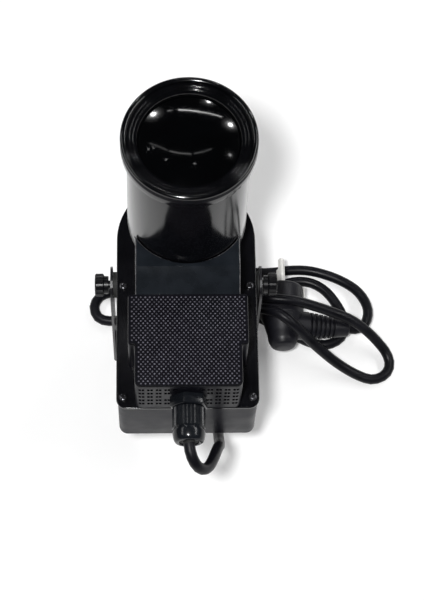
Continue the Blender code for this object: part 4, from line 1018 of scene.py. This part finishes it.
shank = [(0, -SHANK_LENGTH), (SHANK_RADIUS, -SHANK_LENGTH), (SHANK_RADIUS, 0), (SCREW_HEAD, 0)]
pan = [(SCREW_HEAD * math.cos(a), SCREW_HEIGHT * (HEAD_RIM + (1 - HEAD_RIM) * math.sin(a)))
       for a in (math.pi / 2 * k / 6 for k in range(6))]
outline = plus(CROSS_LENGTH / 2, CROSS_WIDTH / 2)
for number, (x, forward) in enumerate(screw_places, 1):
    body = turned(shank + pan + [(0, SCREW_HEIGHT)], SCREW_STEPS, place(x, forward, GAP))
    screw = piece("cover_bolt_%d" % number, body, black_screw, "head")
    cross = stacked([[(u, v, w) for u, v in outline] for w in (-CROSS_DEPTH, CROSS_DEPTH)])
    spin = Matrix.Rotation(math.radians(CROSS_TURN * number), 3, "Z")
    bmesh.ops.rotate(cross, verts=cross.verts, cent=(0, 0, 0), matrix=spin)
    bmesh.ops.translate(cross, verts=cross.verts, vec=place(x, forward, GAP + SCREW_HEIGHT))
    cut(screw, piece("cross", cross, black_screw, "head"))
    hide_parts("cover_screw_%d" % number)

# %% [markdown]
# ## Cable gland
#
# The lead is held by a plastic gland. A hexagonal body sits against the wall, and a
# dome nut squeezes a rubber seal onto the lead.

# %% Cut the gland's hexagon
GLAND_HEX = 0.022
HEX_LENGTH = 0.0077
HEX_CHAMFER = 0.0008
HEX_SLOPE = 0.0007
HEX_EDGE = 0.0004
gland_axis = (0, -1, 0)
gland_origin = place(0, POD_FRONT + GAP, VENT_MIDDLE)

corner = GLAND_HEX / math.sqrt(3)
hexagon = [(0, 0), (corner - HEX_CHAMFER, 0), (corner, HEX_SLOPE), (corner, HEX_LENGTH - HEX_SLOPE),
           (corner - HEX_CHAMFER, HEX_LENGTH), (0, HEX_LENGTH)]
gland = piece("gland_hexagon", turned(hexagon, 6, gland_origin, gland_axis), gland_nylon, "head", 20)
soften(gland, HEX_EDGE)
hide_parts("gland_body")

# %% [markdown]
# The nut has fine ribs for the fingers. They are real: each third step of the turned
# wall has a smaller radius. Its dome is fuller than a quarter of a circle: it stays
# wide for long, and then turns in to the mouth.

# %% Turn the dome nut
NUT_LENGTH = 0.014
NUT_RADIUS = 0.0108
NUT_CHAMFER = 0.0008
NUT_LEAD_IN = 0.0007
DOME_LENGTH = 0.009
DOME_FULLNESS = 0.62
DOME_STEPS = 16
MOUTH_RADIUS = 0.0064
MOUTH_EDGE = 0.0006
MOUTH_DROP = 0.0004
SEAL_DEPTH = 0.006
CORD_BORE = 0.004
RIB_DEPTH = 0.0004
RIBS = 36
DOME_INSET = 0.0001


def rib(step, radius):
    """Every third step of the nut's wall lies deeper."""
    return radius - RIB_DEPTH if step % 3 == 0 and radius >= NUT_RADIUS else radius


nut_start = HEX_LENGTH + GAP
nut_end = nut_start + NUT_LENGTH
mouth_end = nut_end + DOME_LENGTH
dome_nut = [(NUT_RADIUS - NUT_LEAD_IN, nut_start), (NUT_RADIUS, nut_start + NUT_LEAD_IN),
            (NUT_RADIUS, nut_end - NUT_CHAMFER), (NUT_RADIUS - NUT_CHAMFER, nut_end)]
dome_foot = MOUTH_RADIUS + MOUTH_EDGE
dome_width = NUT_RADIUS - DOME_INSET - dome_foot
for k in range(2, DOME_STEPS + 1):
    a = math.pi / 2 * k / DOME_STEPS
    dome_nut.append((dome_foot + dome_width * math.cos(a) ** DOME_FULLNESS,
                     nut_end + DOME_LENGTH * math.sin(a)))
dome_nut += [(MOUTH_RADIUS, mouth_end - MOUTH_DROP), (MOUTH_RADIUS, mouth_end - SEAL_DEPTH),
             (CORD_BORE, mouth_end - SEAL_DEPTH), (CORD_BORE, nut_start)]
nut = piece("gland_dome_nut", turned(dome_nut, RIBS * 3, gland_origin, gland_axis, wave=rib),
            gland_nylon, "head", 30)
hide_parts("gland_nut")

# %% [markdown]
# ## Thumb screws
#
# A knurled thumb screw on each side clamps the head in the yoke. A straight knurl is a
# ring of fine grooves, so every fourth step of the turned grip is lower, and its rims
# are chamfered where the knurl runs out. The profile starts at the tip of the stud,
# and its second number counts from the outside of the yoke.

# %% Knurl the thumb screws
PIVOT = Vector((0, 0.02815, 0.1146))
YOKE_OUTER = 0.0516
KNURLS = 18
KNURL_DEPTH = 0.0006
GRIP_RADIUS = 0.0077
STUD_RADIUS = 0.003
HUB_RADIUS = 0.0061
KNOB_PROFILE = [
    (0, -0.0175), (0.0022, -0.0175), (STUD_RADIUS, -0.0167), (STUD_RADIUS, 0.0015),
    (HUB_RADIUS, 0.0015), (HUB_RADIUS, 0.0044), (0.0066, 0.0044), (GRIP_RADIUS, 0.0052),
    (GRIP_RADIUS, 0.0098), (0.0069, 0.0106), (0.0045, 0.0106), (0.0042, 0.0101), (0, 0.0101),
]


def knurl(step, radius):
    """Every fourth step of the grip lies deeper."""
    return radius - KNURL_DEPTH if step % 4 == 0 and radius >= GRIP_RADIUS else radius


for side, word in ((-1, "left"), (1, "right")):
    grip = [(r, YOKE_OUTER + h) for r, h in KNOB_PROFILE]
    body = turned(grip, KNURLS * 4, PIVOT, (side, 0, 0), wave=knurl)
    knob = piece("thumb_screw_" + word, body, knob_plastic, "knob_" + word, 25)
    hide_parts("knob_" + word)

# %% [markdown]
# ## Plug
#
# The plug is a moulded right-angle plug: a round drum with two pins on its face, and
# a rounded back that narrows away from it. The pins and the earth clips are the
# frame's own nodes.

# %% Mould the plug's drum
PLUG_FACE = 0.0645
PLUG_EDGE = 0.0012
DRUM_PROFILE = [(0, 0), (0.0145, 0), (0.016, 0.0015), (0.016, 0.024), (0.0154, 0.025)]
BACK_PROFILE = [(0.0137, 0.029), (0.0115, 0.037), (0.0106, 0.043), (0.0085, 0.047),
                (0.005, 0.0486), (0, 0.049)]

plug_origin = (PLUG_AXLE.x, PLUG_FACE, PLUG_AXLE.z)
drum = rounded(DRUM_PROFILE + BACK_PROFILE, PLUG_EDGE)
plug = piece("plug_moulding", turned(drum, 72, plug_origin, (0, -1, 0)), plug_vinyl, "yoke", 50)
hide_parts("plug_body")

# %% [markdown]
# The lead enters from the side through a tail with rings cut into it, so that it can
# bend without kinking. The rings get smaller towards the lead.

# %% Cut the rings of the plug's tail
TAIL_FOOT = 0.0105
TAIL_TIP = 0.006
TAIL_STRAIGHT = 0.019
TAIL_END = 0.010
TAIL_RINGS = 6
RING_GROOVE = 0.0022
RING_EDGE = 0.0004
GROOVE_START = 0.0006
GROOVE_SHARE = 0.38
RING_SHARES = (0.5, 0.98)
TIP_START = 0.009
TIP_EDGE = 0.0012

tail_length = (PLUG_TAIL_END - PLUG_AXLE).length
pitch = (tail_length - TAIL_STRAIGHT - TAIL_END) / TAIL_RINGS
rings = [(0, 0), (TAIL_FOOT, 0), (TAIL_FOOT, TAIL_STRAIGHT)]
for k in range(TAIL_RINGS):
    at = TAIL_STRAIGHT + pitch * k
    share = (at - TAIL_STRAIGHT) / (tail_length - TAIL_STRAIGHT)
    r = TAIL_FOOT - (TAIL_FOOT - TAIL_TIP) * share
    rings += [(r - RING_GROOVE, at + GROOVE_START), (r - RING_GROOVE, at + pitch * GROOVE_SHARE)]
    rings += [(r - RING_EDGE, at + pitch * share) for share in RING_SHARES]
rings += [(TAIL_TIP + TIP_EDGE, tail_length - TIP_START), (TAIL_TIP, tail_length - TIP_EDGE),
          (TAIL_TIP - TIP_EDGE, tail_length), (0, tail_length)]
plug_tail = piece("plug_tail", turned(rings, 48, PLUG_AXLE, tail_axis), plug_vinyl, "yoke", 30)

# %% [markdown]
# ## Surfaces for the frame's own pieces
#
# What is left has the right shape already: the yoke, the rubber spacers, the pins, and
# everything inside the box and the barrel. Each gets the finish of its kind. The yoke
# is bent strap, and needs no more than its black coat.

# %% Finish the remaining nodes
FINISHES = {
    "yoke": black_steel, "spacer": rubber, "pivot_nut": bright_steel, "gasket": rubber,
    "barrel_screw": bright_steel, "lens_seal": rubber, "lens_retainer": black_steel,
    "heatsink_screw": bright_steel, "heatsink": bare_aluminium, "led_board": solder_mask,
    "led_chip": phosphor, "optic": clear_acrylic, "fan_screw": bright_steel,
    "fan_frame": matt_plastic, "fan_rotor": matt_plastic, "driver_board": solder_mask,
    "board_screw": bright_steel, "transformer": yellow_tape,
    "smoothing_capacitor": bare_aluminium, "mains_terminal": blue_terminal,
    "gland_locknut": gland_nylon, "gland_seal": rubber, "plug_pin": plated_pin,
    "earth_clip": plated_pin,
}
done = 0
for name, node in sorted(nodes.items()):
    if node.hide_render:
        continue
    kind = max((k for k in FINISHES if name.startswith(k)), key=len)
    node.data.materials.clear()
    node.data.materials.append(FINISHES[kind])
    done += 1
print("finished", done, "nodes")
